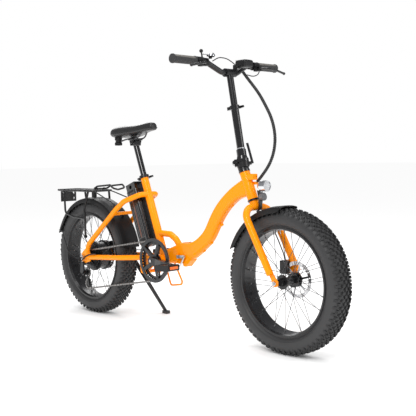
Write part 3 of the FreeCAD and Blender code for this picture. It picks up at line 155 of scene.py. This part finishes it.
FINISHES = {
    orange: ("seat_tube_frame", "rear_stays", "hinge_rear_block", "hinge_front_block", "main_beam", "fork"),
    black_paint: ("frame_fittings", "rear_rack", "rack_clip", "kickstand", "stem_base", "tail_light"),
    black_gloss: (
        "handlepost", "battery_pack", "headset_cups", "seat_clamp_lever", "stem_latch_lever", "seat_post",
    ),
    black_alloy: (
        "front_hub", "hub_motor", "rear_rim", "front_rim", "rear_caliper", "front_caliper", "derailleur_body",
        "derailleur_cage", "chainring", "crank_arms", "handlebar", "left_brake_lever", "right_brake_lever",
        "post_clamp_lever",
    ),
    guard_grey: ("chain_guard",),
    plastic: (
        "rear_mudguard", "front_mudguard", "right_pedal", "left_pedal", "bar_clamps", "shifter_lever",
        "display", "upper_jockey_wheel", "lower_jockey_wheel",
    ),
    tread_rubber: ("rear_tyre", "front_tyre"),
    grip_rubber: ("grips",),
    leather: ("saddle",),
    silver: ("hinge_latch_lever",),
    steel: ("front_rotor", "rear_rotor", "rear_axle", "front_axle", "bell_lever"),
    dark_steel: ("rear_spokes", "front_spokes", "freewheel"),
    chain_steel: ("chain",),
    chrome: ("headlight",),
    sleeve_black: ("cable_sleeve_low", "cable_sleeve_mid", "cable_sleeve_top"),
}
for made, names in FINISHES.items():
    for name in names:
        nodes[name].data.materials.clear()
        nodes[name].data.materials.append(made)


def face_finish(name, made, inside):
    """Give the faces of a CAD node whose middle passes the test a second finish."""
    mesh = nodes[name].data
    mesh.materials.append(made)
    index = len(mesh.materials) - 1
    for face in mesh.polygons:
        if inside(face.center):
            face.material_index = index


def in_box(low, high):
    return lambda c: all(low[i] <= c[i] <= high[i] for i in range(3))


# ---------------------------------------------------------------- building helpers
def piece(name, verts, faces, made, body, bevel=0.0, subdivide=0):
    """One mesh piece. It rides on a body when one is given."""
    mesh = bpy.data.meshes.new(name)
    mesh.from_pydata([tuple(v) for v in verts], [], [tuple(f) for f in faces])
    mesh.validate()
    work = bmesh.new()
    work.from_mesh(mesh)
    bmesh.ops.recalc_face_normals(work, faces=work.faces)
    work.to_mesh(mesh)
    work.free()
    mesh.materials.append(made)
    made_object = bpy.data.objects.new(name, mesh)
    scene.collection.objects.link(made_object)
    if bevel:
        edge = made_object.modifiers.new("Bevel", "BEVEL")
        edge.width = bevel
        edge.segments = 2
        edge.limit_method = "ANGLE"
        edge.angle_limit = math.radians(35)
    if subdivide:
        level = made_object.modifiers.new("Subdivision", "SUBSURF")
        level.levels = subdivide
        level.render_levels = subdivide
    mesh.shade_smooth()
    mesh.set_sharp_from_angle(angle=math.radians(40))
    if body:
        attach(made_object, body)
    return made_object


class Shape:
    """Vertices and faces gathered for one piece."""

    def __init__(self):
        self.verts = []
        self.faces = []

    def add(self, verts, faces):
        start = len(self.verts)
        self.verts += [Vector(v) for v in verts]
        self.faces += [[start + i for i in face] for face in faces]
        return self

    def box(self, low, high, turn=None, about=None):
        xs, ys, zs = zip(low, high)
        corners = [Vector((x, y, z)) for x in xs for y in ys for z in zs]
        if turn is not None:
            corners = [about + turn @ (c - about) for c in corners]
        sides = [(0, 1, 3, 2), (4, 6, 7, 5), (0, 4, 5, 1), (2, 3, 7, 6), (0, 2, 6, 4), (1, 5, 7, 3)]
        return self.add(corners, sides)

    def rings(self, rings):
        """Skin a list of closed rings of the same number of points, and close both ends."""
        count = len(rings[0])
        verts = [p for ring in rings for p in ring]
        faces = []
        for i in range(len(rings) - 1):
            for j in range(count):
                k = (j + 1) % count
                faces.append((i * count + j, i * count + k, (i + 1) * count + k, (i + 1) * count + j))
        faces.append(tuple(range(count))[::-1])
        faces.append(tuple((len(rings) - 1) * count + j for j in range(count)))
        return self.add(verts, faces)

    def tube(self, points, radius, sides=12):
        """Tube of one radius, or of one radius at each point, along points."""
        points = [Vector(p) for p in points]
        radii = radius if isinstance(radius, (list, tuple)) else [radius] * len(points)
        rings = []
        side = None
        for i, middle in enumerate(points):
            ahead = points[min(i + 1, len(points) - 1)] - points[max(i - 1, 0)]
            ahead.normalize()
            if side is None:
                side = ahead.orthogonal().normalized()
            side = (side - ahead * side.dot(ahead)).normalized()
            up = ahead.cross(side)
            rings.append([
                middle + (side * math.cos(t) + up * math.sin(t)) * radii[i]
                for t in (2 * math.pi * j / sides for j in range(sides))
            ])
        return self.rings(rings)

    def turned(self, profile, centre, axis, steps, closed=True):
        """Turn a (distance along axis, radius) profile about the axis."""
        axis = Vector(axis).normalized()
        side = axis.orthogonal().normalized()
        up = axis.cross(side)
        count = len(profile)
        verts = []
        for i in range(steps):
            t = 2 * math.pi * i / steps
            out = side * math.cos(t) + up * math.sin(t)
            verts += [centre + axis * along + out * radius for along, radius in profile]
        faces = []
        for i in range(steps):
            n = (i + 1) % steps
            for j in range(count if closed else count - 1):
                k = (j + 1) % count
                faces.append((i * count + j, i * count + k, n * count + k, n * count + j))
        return self.add(verts, faces)


def smooth_line(points, per_span):
    """Points along the quadratic NURBS line whose control points are given."""
    curve = bpy.data.curves.new("line", "CURVE")
    curve.dimensions = "3D"
    spline = curve.splines.new("NURBS")
    spline.points.add(len(points) - 1)
    for target, source in zip(spline.points, points):
        target.co = (*source, 1)
    spline.order_u = 3
    spline.use_endpoint_u = True
    curve.resolution_u = per_span
    holder = bpy.data.objects.new("line", curve)
    scene.collection.objects.link(holder)
    bpy.context.view_layer.update()
    mesh = bpy.data.meshes.new_from_object(holder)
    line = [v.co.copy() for v in mesh.vertices]
    bpy.data.objects.remove(holder)
    bpy.data.curves.remove(curve)
    bpy.data.meshes.remove(mesh)
    return line


# ---------------------------------------------------------------- tyres
CASING_TOP = 0.2725
# (y, radius) from the bead to the crown. CASING[WIDEST] is the widest point.
CASING = [
    (0.0362, 0.2036), (0.0364, 0.2135), (0.0405, 0.2165), (0.0432, 0.2200), (0.0440, 0.2206),
    (0.0452, 0.2262), (0.0462, 0.2270), (0.0468, 0.2330), (0.0470, 0.2400), (0.0462, 0.2475),
    (0.0440, 0.2550), (0.0392, 0.2610), (0.0320, 0.2655), (0.0225, 0.2695), (0.0110, 0.2718),
]
WIDEST = 8
CASING_WALL = 0.0045
TREAD_HALF = 0.0455
TREAD_PROFILE = ([0, 0.022, 0.034, 0.0405, TREAD_HALF], [0.2790, 0.2786, 0.2745, 0.2685, 0.2600])
TYRE_STEPS = 144
KNOB_PITCHES = 64
KNOB_TOP, KNOB_FOOT = 0.86, 1.08
KNOB_SUNK = 0.0015
KNOB_ROWS = [
    # across, width, length, turn, share of a pitch
    (0.0062, 0.0092, 0.0140, 10, 0.0),
    (0.0190, 0.0098, 0.0125, -12, 0.5),
    (0.0308, 0.0090, 0.0120, 8, 0.0),
    (0.0408, 0.0075, 0.0105, 0, 0.5),
]


def casing_radius(y):
    """Radius of the casing's outside at a distance from its middle."""
    wall = CASING[WIDEST:][::-1]
    ys = [0.0] + [p[0] for p in wall]
    return float(np.interp(abs(y), ys, [CASING_TOP] + [p[1] for p in wall]))


def tread_top(y):
    """Radius of the tops of the knobs."""
    return float(np.interp(abs(y), *TREAD_PROFILE))


def tyre(name, axle, body):
    """Casing turned from its profile, with four rows of knobs on each half."""
    outer = CASING + [(0.0, CASING_TOP)] + [(-y, r) for y, r in reversed(CASING)]
    inner = [(-y * 0.88, r - (CASING_WALL if r > 0.25 else 0.0)) for y, r in CASING[::3]]
    inner += [(-y, r) for y, r in reversed(inner)]
    shape = Shape().turned(outer + inner, axle, (0, 1, 0), TYRE_STEPS)
    casing = piece(name + "_casing", shape.verts, shape.faces, wall_rubber, body)
    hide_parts(name)
    knobs = Shape()
    for across, width, length, turn, share in KNOB_ROWS:
        for side in (-1, 1):
            for i in range(KNOB_PITCHES):
                offset = share + (0.5 if side > 0 else 0.0)
                angle = 2 * math.pi * (i + offset) / KNOB_PITCHES
                slant = math.radians(turn * side)
                top, foot = [], []
                for a, b in ((-1, -1), (1, -1), (1, 1), (-1, 1)):
                    for level, ring in ((0, foot), (1, top)):
                        taper = KNOB_TOP if level else KNOB_FOOT
                        du, dv = a * length / 2 * taper, b * width / 2 * taper
                        u = du * math.cos(slant) - dv * math.sin(slant)
                        y = side * across + du * math.sin(slant) + dv * math.cos(slant)
                        y = max(min(y, TREAD_HALF), -TREAD_HALF)
                        radius = tread_top(y) if level else casing_radius(y) - KNOB_SUNK
                        t = angle + u / WHEEL_R
                        ring.append(axle + Vector((radius * math.cos(t), y, radius * math.sin(t))))
                knobs.rings([foot, top])
    piece(name + "_knobs", knobs.verts, knobs.faces, tread_rubber, body, bevel=0.0007)


tyre("rear_tyre", REAR_AXLE, "rear_wheel")
tyre("front_tyre", FRONT_AXLE, "front_wheel")


def mudguard_lip(name, axle, body, start, end):
    """Rolled skirt below each edge of a mudguard, from one angle to another, tapered at its ends."""
    edge = 0.2785
    section = [
        (0.0500, edge), (0.0512, edge), (0.0524, 0.2700),
        (0.0526, 0.2625), (0.0514, 0.2625), (0.0510, 0.2700),
    ]
    shape = Shape()
    steps = 48
    for side in (-1, 1):
        rings = []
        for i in range(steps + 1):
            share = i / steps
            turn = math.radians(start + (end - start) * share)
            drop = min(1.0, 12 * min(share, 1 - share)) ** 0.5
            rings.append([
                axle + Vector((r * math.cos(turn), side * y, r * math.sin(turn)))
                for y, r in ((y, edge + (r - edge) * (0.15 + 0.85 * drop)) for y, r in section)
            ])
        shape.rings(rings)
    piece(name, shape.verts, shape.faces, plastic, body)


mudguard_lip("rear_mudguard_lip", REAR_AXLE, "rear_frame", 158, 13)
mudguard_lip("front_mudguard_lip", FRONT_AXLE, "steer", 156, 89)


# ---------------------------------------------------------------- chain
CHAINRING_TEETH, COG_TEETH, PULLEY_TEETH = 44, 14, 11
CHAIN_MIDDLE = Vector((-0.4, 0, 0.25))
PLATE_R, PLATE_WAIST = 0.0041, 0.0030
INNER_PLATE, OUTER_PLATE = (0.0020, 0.0031), (0.0031, 0.0042)
PIN_R, PIN_HALF = 0.0018, 0.0050
ROLLER_R, ROLLER_HALF = 0.0038, 0.0021


def pitch_radius(teeth):
    return CHAIN_PITCH / (2 * math.sin(math.pi / teeth))


def chain_path():
    """Points along the chain's pitch line, as in the CAD chain."""
    path = [
        (BOTTOM_BRACKET, pitch_radius(CHAINRING_TEETH)), (TENSION_PULLEY, pitch_radius(PULLEY_TEETH)),
        (GUIDE_PULLEY, -pitch_radius(PULLEY_TEETH)), (REAR_AXLE, pitch_radius(COG_TEETH)),
    ]
    normals = []
    for i, (centre, radius) in enumerate(path):
        following, next_radius = path[(i + 1) % 4]
        run = Vector((following.x - centre.x, 0, following.z - centre.z))
        bearing = math.atan2(run.z, run.x) + math.acos((radius - next_radius) / run.length)
        normals.append(Vector((math.cos(bearing), 0, math.sin(bearing))))
    line = []
    for i, (centre, radius) in enumerate(path):
        arriving, leaving = normals[i - 1], normals[i]
        first = math.atan2(arriving.z, arriving.x)
        swing = math.atan2(leaving.z, leaving.x) - first
        swing = (swing + math.pi) % (2 * math.pi) - math.pi
        if radius > 0 and (i == 0 or i == 3) and abs(swing) < math.pi:
            long_way = swing - math.copysign(2 * math.pi, swing)
            middle = first + swing / 2
            outward = Vector((math.cos(middle), 0, math.sin(middle)))
            if outward.dot(centre - CHAIN_MIDDLE) < 0:
                swing = long_way
        steps = max(int(abs(swing) * abs(radius) / 0.001), 6)
        hub = Vector((centre.x, CHAIN_Y, centre.z))
        for k in range(steps + 1):
            t = first + swing * k / steps
            line.append(hub + Vector((math.cos(t), 0, math.sin(t))) * radius)
    return line + [line[0]]


def chain():
    """One pair of side plates, a pin and a roller for each pitch of the chain."""
    line = chain_path()
    lengths = np.concatenate([[0], np.cumsum([(b - a).length for a, b in zip(line, line[1:])])])
    count = 2 * round(lengths[-1] / CHAIN_PITCH / 2)
    xs = np.array([p.x for p in line])
    zs = np.array([p.z for p in line])
    stops = np.linspace(0, lengths[-1], count + 1)
    pins = [Vector((np.interp(s, lengths, xs), CHAIN_Y, np.interp(s, lengths, zs))) for s in stops]
    links = Shape()
    rollers = Shape()
    for i in range(count):
        start, end = pins[i], pins[i + 1]
        run = (end - start).normalized()
        up = Vector((-run.z, 0, run.x))
        offsets = INNER_PLATE if i % 2 else OUTER_PLATE
        outline = []
        for centre, first in ((end, -90), (start, 90)):
            for k in range(5):
                t = math.radians(first + 45 * k)
                outline.append(centre + (run * math.cos(t) + up * math.sin(t)) * PLATE_R)
        waist = (start + end) / 2
        outline.insert(5, waist + up * PLATE_WAIST)
        outline.append(waist - up * PLATE_WAIST)
        for side in (-1, 1):
            faces = sorted((side * offsets[0], side * offsets[1]))
            links.rings([[p + Vector((0, y, 0)) for p in outline] for y in faces])
        for half, radius, sides in ((PIN_HALF, PIN_R, 8), (ROLLER_HALF, ROLLER_R, 10)):
            rollers.tube([start + Vector((0, y, 0)) for y in (-half, half)], radius, sides)
    plates = piece("chain_plates", links.verts, links.faces, chain_steel, "rear_frame")
    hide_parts("chain")
    piece("chain_rollers", rollers.verts, rollers.faces, steel, "rear_frame")


chain()

# ---------------------------------------------------------------- cable bundle
SLEEVE_ROUTE = [
    (0.346, 0.054, 1.094), (0.373, 0.052, 1.066), (0.411, 0.048, 1.031), (0.446, 0.044, 0.995),
    (0.477, 0.041, 0.953), (0.505, 0.038, 0.913), (0.523, 0.035, 0.873), (0.533, 0.032, 0.834),
    (0.534, 0.029, 0.796), (0.525, 0.027, 0.757), (0.508, 0.025, 0.722), (0.480, 0.023, 0.688),
    (0.446, 0.023, 0.656),
]
SLEEVE_R = 0.0062
WRAP_PITCH = 0.0085
WRAP_SIDES = 20
WRAP_STEP = 0.0012
GROOVE_DEPTH, GROOVE_FROM = 0.0014, 0.78
SLEEVE_PARTS = (
    ("cable_sleeve_top", "bar", "handlepost", 0, 4),
    ("cable_sleeve_mid", "handlepost", "steer", 4, 8),
    ("cable_sleeve_low", "steer", "front_frame", 8, 12),
)


def spiral_wrap(line, travelled):
    """A tube whose wall steps in a helix, like plastic spiral wrap round a bundle."""
    rings = []
    side = Vector((0, 1, 0))
    for i, middle in enumerate(line):
        ahead = (line[min(i + 1, len(line) - 1)] - line[max(i - 1, 0)]).normalized()
        side = (side - ahead * side.dot(ahead)).normalized()
        up = ahead.cross(side)
        ring = []
        for j in range(WRAP_SIDES):
            t = 2 * math.pi * j / WRAP_SIDES
            phase = (travelled[i] / WRAP_PITCH + j / WRAP_SIDES) % 1.0
            groove = GROOVE_DEPTH if phase > GROOVE_FROM else 0.0
            ring.append(middle + (side * math.cos(t) + up * math.sin(t)) * (SLEEVE_R - groove))
        rings.append(ring)
    return Shape().rings(rings)


def cable_bundle():
    """The wrapped bundle in three lengths, one across each joint it passes."""
    whole = smooth_line([Vector(p) for p in SLEEVE_ROUTE], per_span=40)
    gaps = [0.0] + [(b - a).length for a, b in zip(whole, whole[1:])]
    travelled = list(np.cumsum(gaps))
    fine = np.arange(0, travelled[-1], WRAP_STEP)
    line = [Vector([np.interp(s, travelled, [p[i] for p in whole]) for i in range(3)]) for s in fine]
    for name, above, below, first, last in SLEEVE_PARTS:
        start, end = Vector(SLEEVE_ROUTE[first]), Vector(SLEEVE_ROUTE[last])
        ends = [min(range(len(line)), key=lambda i: (line[i] - p).length) for p in (start, end)]
        part = spiral_wrap(line[ends[0]:ends[1] + 1], fine[ends[0]:ends[1] + 1])
        sleeve = piece(name + "_wrap", part.verts, part.faces, sleeve_black, None)
        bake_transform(sleeve)
        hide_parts(name)


cable_bundle()

# ---------------------------------------------------------------- saddle
SADDLE = [
    # along, middle height, depth, width
    (-0.410, 0.872, 0.026, 0.078), (-0.402, 0.872, 0.047, 0.122), (-0.384, 0.873, 0.056, 0.156),
    (-0.350, 0.874, 0.059, 0.172), (-0.312, 0.877, 0.053, 0.154), (-0.270, 0.881, 0.045, 0.106),
    (-0.232, 0.887, 0.041, 0.072), (-0.196, 0.893, 0.041, 0.056), (-0.168, 0.895, 0.039, 0.046),
    (-0.155, 0.893, 0.028, 0.033),
]
SADDLE_SIDES = 28
SADDLE_ROUND = (0.72, 0.80)
UNDERSIDE = 0.92
CHANNEL_DEPTH, CHANNEL_HALF = 0.0038, 0.010
CHANNEL_FROM, CHANNEL_TO = -0.40, -0.20


def crown(y, width):
    """The cover's middle stands a little above its shoulders."""
    return 0.004 * (1 - (2 * y / width) ** 2) - 0.002


def saddle_cover():
    """Leather cover with a shallow channel along the middle."""
    rings = []
    for x, z, depth, width in SADDLE:
        ring = []
        for j in range(SADDLE_SIDES):
            t = 2 * math.pi * j / SADDLE_SIDES
            c, s = math.cos(t), math.sin(t)
            y = math.copysign(abs(c) ** SADDLE_ROUND[0], c) * width / 2
            rise = math.copysign(abs(s) ** SADDLE_ROUND[1], s) * depth / 2
            if rise < 0:
                rise *= UNDERSIDE
            channel = 0.0
            if s > 0 and CHANNEL_FROM < x < CHANNEL_TO:
                channel = CHANNEL_DEPTH * math.exp(-(y / CHANNEL_HALF) ** 2)
            ring.append(Vector((x, y, z + rise - channel + crown(y, width))))
        rings.append(ring)
    shape = Shape().rings(rings)
    cover = piece("saddle_cover", shape.verts, shape.faces, leather, "seat_post", subdivide=2)
    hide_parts("saddle")


def saddle_seams():
    """Piping along each lower edge."""
    seam = Shape()
    for side in (-1, 1):
        edge = [Vector((x, side * width / 2 * 0.985, z - depth * 0.10)) for x, z, depth, width in SADDLE[1:]]
        seam.tube(smooth_line(edge, per_span=8), 0.0014, 8)
    piece("saddle_piping", seam.verts, seam.faces, plastic, "seat_post")


def saddle_frame():
    """Rails under the cover, and the two rubber springs with their bolts."""
    rails = Shape()
    springs = Shape()
    caps = Shape()
    for side in (-1, 1):
        route = [(-0.356, 0.044, 0.830), (-0.335, 0.030, 0.8425), (-0.300, 0.022, 0.8435),
                 (-0.262, 0.021, 0.8445), (-0.240, 0.018, 0.856), (-0.222, 0.013, 0.878)]
        rails.tube(smooth_line([Vector((x, side * y, z)) for x, y, z in route], per_span=8), 0.0035, 12)
        centre = Vector((-0.362, side * 0.046, 0.815))
        profile = [(0, 0), (0, 0.015), (0.002, 0.017), (0.012, 0.017), (0.016, 0.0135), (0.022, 0.0135),
                   (0.026, 0.017), (0.045, 0.0165), (0.048, 0.014), (0.048, 0)]
        springs.turned(profile, centre, (0, 0, 1), 32, closed=False)
        caps.tube([centre + Vector((0, 0, -0.0008)), centre + Vector((0, 0, 0.001))], 0.007, 6)
    piece("saddle_rails", rails.verts, rails.faces, dark_steel, "seat_post")
    piece("saddle_springs", springs.verts, springs.faces, plastic, "seat_post")
    piece("saddle_spring_bolts", caps.verts, caps.faces, steel, "seat_post")


saddle_cover()
saddle_seams()
saddle_frame()

# ---------------------------------------------------------------- battery case
SEAT_LEAN = math.radians(69.4)
SEAT_AXIS = Vector((-math.cos(SEAT_LEAN), 0, math.sin(SEAT_LEAN)))
BEHIND = Vector((-SEAT_AXIS.z, 0, SEAT_AXIS.x))
RIB_ENDS = (0.128, 0.338)
CASE_MIDDLE = 0.074
CASE_HALF_DEPTH, CASE_HALF_WIDTH = 0.0366, 0.0388
CASE_ROUND = 0.42


def on_seat(distance, back=0.0, y=0.0):
    """A point at a distance up the seat tube's axis, and behind and beside it."""
    return BOTTOM_BRACKET + SEAT_AXIS * distance + BEHIND * back + Vector((0, y, 0))


def battery_case():
    """Extruded ribs down both sides, end caps, a copper-coloured strip and a lock barrel."""
    ribs, strips, caps, lock = Shape(), Shape(), Shape(), Shape()
    for side in (-1, 1):
        for back in (0.056, 0.066, 0.086, 0.096):
            line = [on_seat(s, back, side * 0.0378) for s in RIB_ENDS]
            ribs.tube(line, 0.0021, 10)
        strips.tube([on_seat(s, 0.076, side * 0.0372) for s in RIB_ENDS], 0.0032, 12)
        ribs.tube([on_seat(s, 0.0395, side * 0.022) for s in RIB_ENDS], 0.0028, 10)
        ribs.tube([on_seat(s, 0.1098, side * 0.014) for s in RIB_ENDS], 0.0024, 10)
    for low, high in ((0.102, 0.124), (0.341, 0.351)):
        rings = []
        for s in (low, high):
            ring = []
            for j in range(32):
                t = 2 * math.pi * j / 32
                c, n = math.cos(t), math.sin(t)
                back = CASE_MIDDLE + math.copysign(abs(c) ** CASE_ROUND, c) * CASE_HALF_DEPTH
                y = math.copysign(abs(n) ** CASE_ROUND, n) * CASE_HALF_WIDTH
                ring.append(on_seat(s, back, y))
            rings.append(ring)
        caps.rings(rings)
    lock.tube([on_seat(0.345, 0.060, side_y) for side_y in (0.036, 0.0405)], 0.0075, 24)
    piece("battery_ribs", ribs.verts, ribs.faces, black_gloss, "battery")
    piece("battery_strips", strips.verts, strips.faces, rust_strip, "battery")
    piece("battery_caps", caps.verts, caps.faces, plastic, "battery", bevel=0.001)
    piece("battery_lock", lock.verts, lock.faces, steel, "battery", bevel=0.0005)


battery_case()


# ---------------------------------------------------------------- small parts
VALVE_TURN = math.radians(200)
VALVE_RINGS = (
    # radius from the axle, radius of the stem
    (0.160, 0.0030), (0.163, 0.0040), (0.1631, 0.0026), (0.181, 0.0026), (0.1811, 0.0034), (0.198, 0.0040),
)
RIM_HOLES = 18
PEDAL_TURN = Matrix.Rotation(math.radians(-4), 3, "Y")
DISC_BOLTS = 6


def valves():
    """A valve in each rim, and dark discs between its spokes: painted shade standing in for the cut-outs."""
    for name, axle, body in (("rear", REAR_AXLE, "rear_wheel"), ("front", FRONT_AXLE, "front_wheel")):
        shape = Shape()
        out = Vector((math.cos(VALVE_TURN), 0, math.sin(VALVE_TURN)))
        shape.tube([axle + out * r for r, _ in VALVE_RINGS], [stem for _, stem in VALVE_RINGS], 12)
        piece(name + "_valve", shape.verts, shape.faces, dark_steel, body)
        # Black discs on the rim bed are painted shade, standing for the shaded inside of each cut-out.
        hole_shade = Shape()
        for i in range(RIM_HOLES):
            t = 2 * math.pi * (i + 0.5) / RIM_HOLES
            out = Vector((math.cos(t), 0, math.sin(t)))
            for y in (-0.012, 0.012):
                middle = axle + out * 0.1966 + Vector((0, y, 0))
                hole_shade.tube([middle, middle + out * 0.001], 0.0035, 10)
        piece(name + "_rim_hole_shade", hole_shade.verts, hole_shade.faces, black_gloss, body)


def pedal_reflectors():
    """An amber reflector on the front and the back edge of each pedal."""
    for name in ("right_pedal", "left_pedal"):
        low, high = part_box(name)
        centre = (low + high) / 2
        shape = Shape()
        for x in (-1, 1):
            face = centre.x + x * 0.0449
            near, far = sorted((face - x * 0.001, face + x * 0.0006))
            low_corner = (near, centre.y - 0.022, centre.z - 0.006)
            high_corner = (far, centre.y + 0.022, centre.z + 0.006)
            shape.box(low_corner, high_corner, PEDAL_TURN, centre)
        piece(name + "_reflectors", shape.verts, shape.faces, amber, name, bevel=0.0004)


def motor_cable():
    """Hub motor cable, from the axle's end to the chain stay."""
    cable = [(-0.6175, -0.094, 0.279), (-0.622, -0.104, 0.272), (-0.628, -0.103, 0.256),
             (-0.612, -0.095, 0.262), (-0.585, -0.092, 0.286), (-0.545, -0.0915, 0.300),
             (-0.500, -0.0905, 0.303)]
    line = Shape().tube(smooth_line([Vector(p) for p in cable], per_span=8), 0.0032, 10)
    piece("motor_cable", line.verts, line.faces, plastic, "rear_frame")


def bolts():
    """Bright bolt heads on the cranks, the hinge and the discs."""
    spots = {
        "crank": [
            ((BOTTOM_BRACKET.x, side * 0.0858, BOTTOM_BRACKET.z), (0, side, 0), 0.0075) for side in (-1, 1)
        ],
        "rear_frame": [((0.042, 0.025, 0.3862), (0, 0, 1), 0.0058)],
        "front_wheel": [], "rear_wheel": [],
    }
    for end, axle in (("front", FRONT_AXLE), ("rear", REAR_AXLE)):
        disc = end + "_rotor"
        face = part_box(disc)[1].y
        for i in range(DISC_BOLTS):
            t = 2 * math.pi * i / DISC_BOLTS
            place = (axle.x + 0.022 * math.cos(t), face, axle.z + 0.022 * math.sin(t))
            spots[end + "_wheel"].append((place, (0, 1, 0), 0.0034))
    for body, places in spots.items():
        shape = Shape()
        for place, out, radius in places:
            place, out = Vector(place), Vector(out)
            sides = 6 if radius > 0.005 else 12
            shape.tube([place - out * 0.001, place + out * radius * 0.45], radius, sides)
        piece(body + "_bolts", shape.verts, shape.faces, steel, body, bevel=0.0003)


def cockpit():
    """Display glass, the three-button pod beside the left grip, and the ring on the handlepost."""
    low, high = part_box("display")
    glass = Shape().box(
        (low.x + 0.016, low.y + 0.008, high.z - 0.0005), (high.x - 0.008, high.y - 0.008, high.z + 0.0006),
    )
    piece("display_glass", glass.verts, glass.faces, screen_glass, "bar", bevel=0.0004)
    pod = Shape().box((BAR_X - 0.020, 0.122, BAR_Z + 0.004), (BAR_X + 0.012, 0.143, BAR_Z + 0.022))
    pod.tube([(BAR_X, 0.124, BAR_Z), (BAR_X, 0.142, BAR_Z)], 0.0145, 32)
    piece("button_pod", pod.verts, pod.faces, plastic, "bar", bevel=0.002)
    buttons = Shape()
    for x in (-0.014, -0.004, 0.006):
        buttons.box((BAR_X + x - 0.0035, 0.127, BAR_Z + 0.0215), (BAR_X + x + 0.0035, 0.138, BAR_Z + 0.0235))
    piece("pod_buttons", buttons.verts, buttons.faces, grip_grey, "bar", bevel=0.0006)
    axis = Vector((-math.cos(POST_LEAN), 0, math.sin(POST_LEAN)))
    section = [(-0.002, 0.0150), (-0.002, 0.0166), (0.002, 0.0166), (0.002, 0.0150)]
    ring = Shape().turned(section, POST_BASE + axis * 0.0545, axis, 48)
    piece("post_ring", ring.verts, ring.faces, silver, "handlepost", bevel=0.0004)


valves()
pedal_reflectors()
motor_cable()
bolts()
cockpit()

# ---------------------------------------------------------------- second finishes on CAD parts
LENS_X = -0.8799
SHADE_X, SHADE_Z = 0.4868, 0.617
GRIP_PAD = (0.186, 0.280)
NIPPLE_R = 0.182
face_finish("tail_light", red_lens, lambda c: c.x < LENS_X)
face_finish("headlight", horn_grey, lambda c: c.z < SHADE_Z and c.x > SHADE_X)
face_finish("headlight", black_paint, in_box((0.46, -0.02, 0.54), (0.4866, 0.02, 0.632)))
face_finish("grips", grip_grey, lambda c: c.z > BAR_Z + 0.0075 and GRIP_PAD[0] < abs(c.y) < GRIP_PAD[1])
for name, axle in (("front_spokes", FRONT_AXLE), ("rear_spokes", REAR_AXLE)):
    face_finish(name, steel, lambda c: math.hypot(c.x - axle.x, c.z - axle.z) > NIPPLE_R)
face_finish("bar_clamps", chrome, lambda c: (c - Vector(BELL)).length < BELL_R and c.z > BELL[2])

# ---------------------------------------------------------------- floor, lights and camera
FLOOR_HALF = 60
floor_white = finish("floor_white", (0.965, 0.965, 0.965), 0.9, mottle=(2, 0.0), gleam=0.0)
floor_corners = [(x * FLOOR_HALF, y * FLOOR_HALF, 0) for x, y in ((-1, -1), (1, -1), (1, 1), (-1, 1))]
floor = piece("floor", floor_corners, [(0, 1, 2, 3)], floor_white, None)

world = bpy.data.worlds.new("studio")
scene.world = world
world.use_nodes = True
sky = world.node_tree
sky.nodes["Background"].inputs["Strength"].default_value = 1.0
rays = sky.nodes.new("ShaderNodeLightPath")
tone = sky.nodes.new("ShaderNodeMix")
tone.data_type = "RGBA"
tone.inputs["A"].default_value = (1, 1, 1, 1)
tone.inputs["B"].default_value = (0.30, 0.30, 0.31, 1)
sky.links.new(rays.outputs["Is Glossy Ray"], tone.inputs["Factor"])
sky.links.new(tone.outputs["Result"], sky.nodes["Background"].inputs["Color"])


def softbox(name, place, aim, size, power):
    light = bpy.data.lights.new(name, "AREA")
    light.shape = "RECTANGLE"
    light.size, light.size_y = size
    light.energy = power
    lamp = bpy.data.objects.new(name, light)
    lamp.location = place
    lamp.rotation_euler = (Vector(aim) - Vector(place)).to_track_quat("-Z", "Y").to_euler()
    scene.collection.objects.link(lamp)


softbox("key", (1.6, -2.6, 3.0), (0, 0, 0.5), (1.2, 1.8), 56)
softbox("fill", (3.2, 1.2, 2.0), (0, 0, 0.5), (1.4, 1.8), 22)
softbox("top", (-0.2, 0.0, 3.4), (0, 0, 0.4), (2.4, 1.0), 34)
softbox("back", (-2.8, 1.8, 2.4), (0, 0, 0.5), (1.6, 1.6), 25)

CAMERA_AT = Vector((2.5435, -2.2429, 0.7549))
CAMERA_YAW, CAMERA_PITCH, CAMERA_ROLL = math.radians(136.453), math.radians(-3.730), math.radians(-0.884)
ahead = Vector((
    math.cos(CAMERA_PITCH) * math.cos(CAMERA_YAW),
    math.cos(CAMERA_PITCH) * math.sin(CAMERA_YAW),
    math.sin(CAMERA_PITCH),
))
level_right = Vector((math.sin(CAMERA_YAW), -math.cos(CAMERA_YAW), 0))
level_up = level_right.cross(ahead)
right = level_right * math.cos(CAMERA_ROLL) + level_up * math.sin(CAMERA_ROLL)
up = level_up * math.cos(CAMERA_ROLL) - level_right * math.sin(CAMERA_ROLL)
lens = bpy.data.cameras.new("camera")
lens.lens = 67.44
lens.sensor_width = 36.0
camera = bpy.data.objects.new("camera", lens)
camera.matrix_world = Matrix((
    (right.x, up.x, -ahead.x, CAMERA_AT.x), (right.y, up.y, -ahead.y, CAMERA_AT.y),
    (right.z, up.z, -ahead.z, CAMERA_AT.z), (0, 0, 0, 1),
))
scene.collection.objects.link(camera)
scene.camera = camera
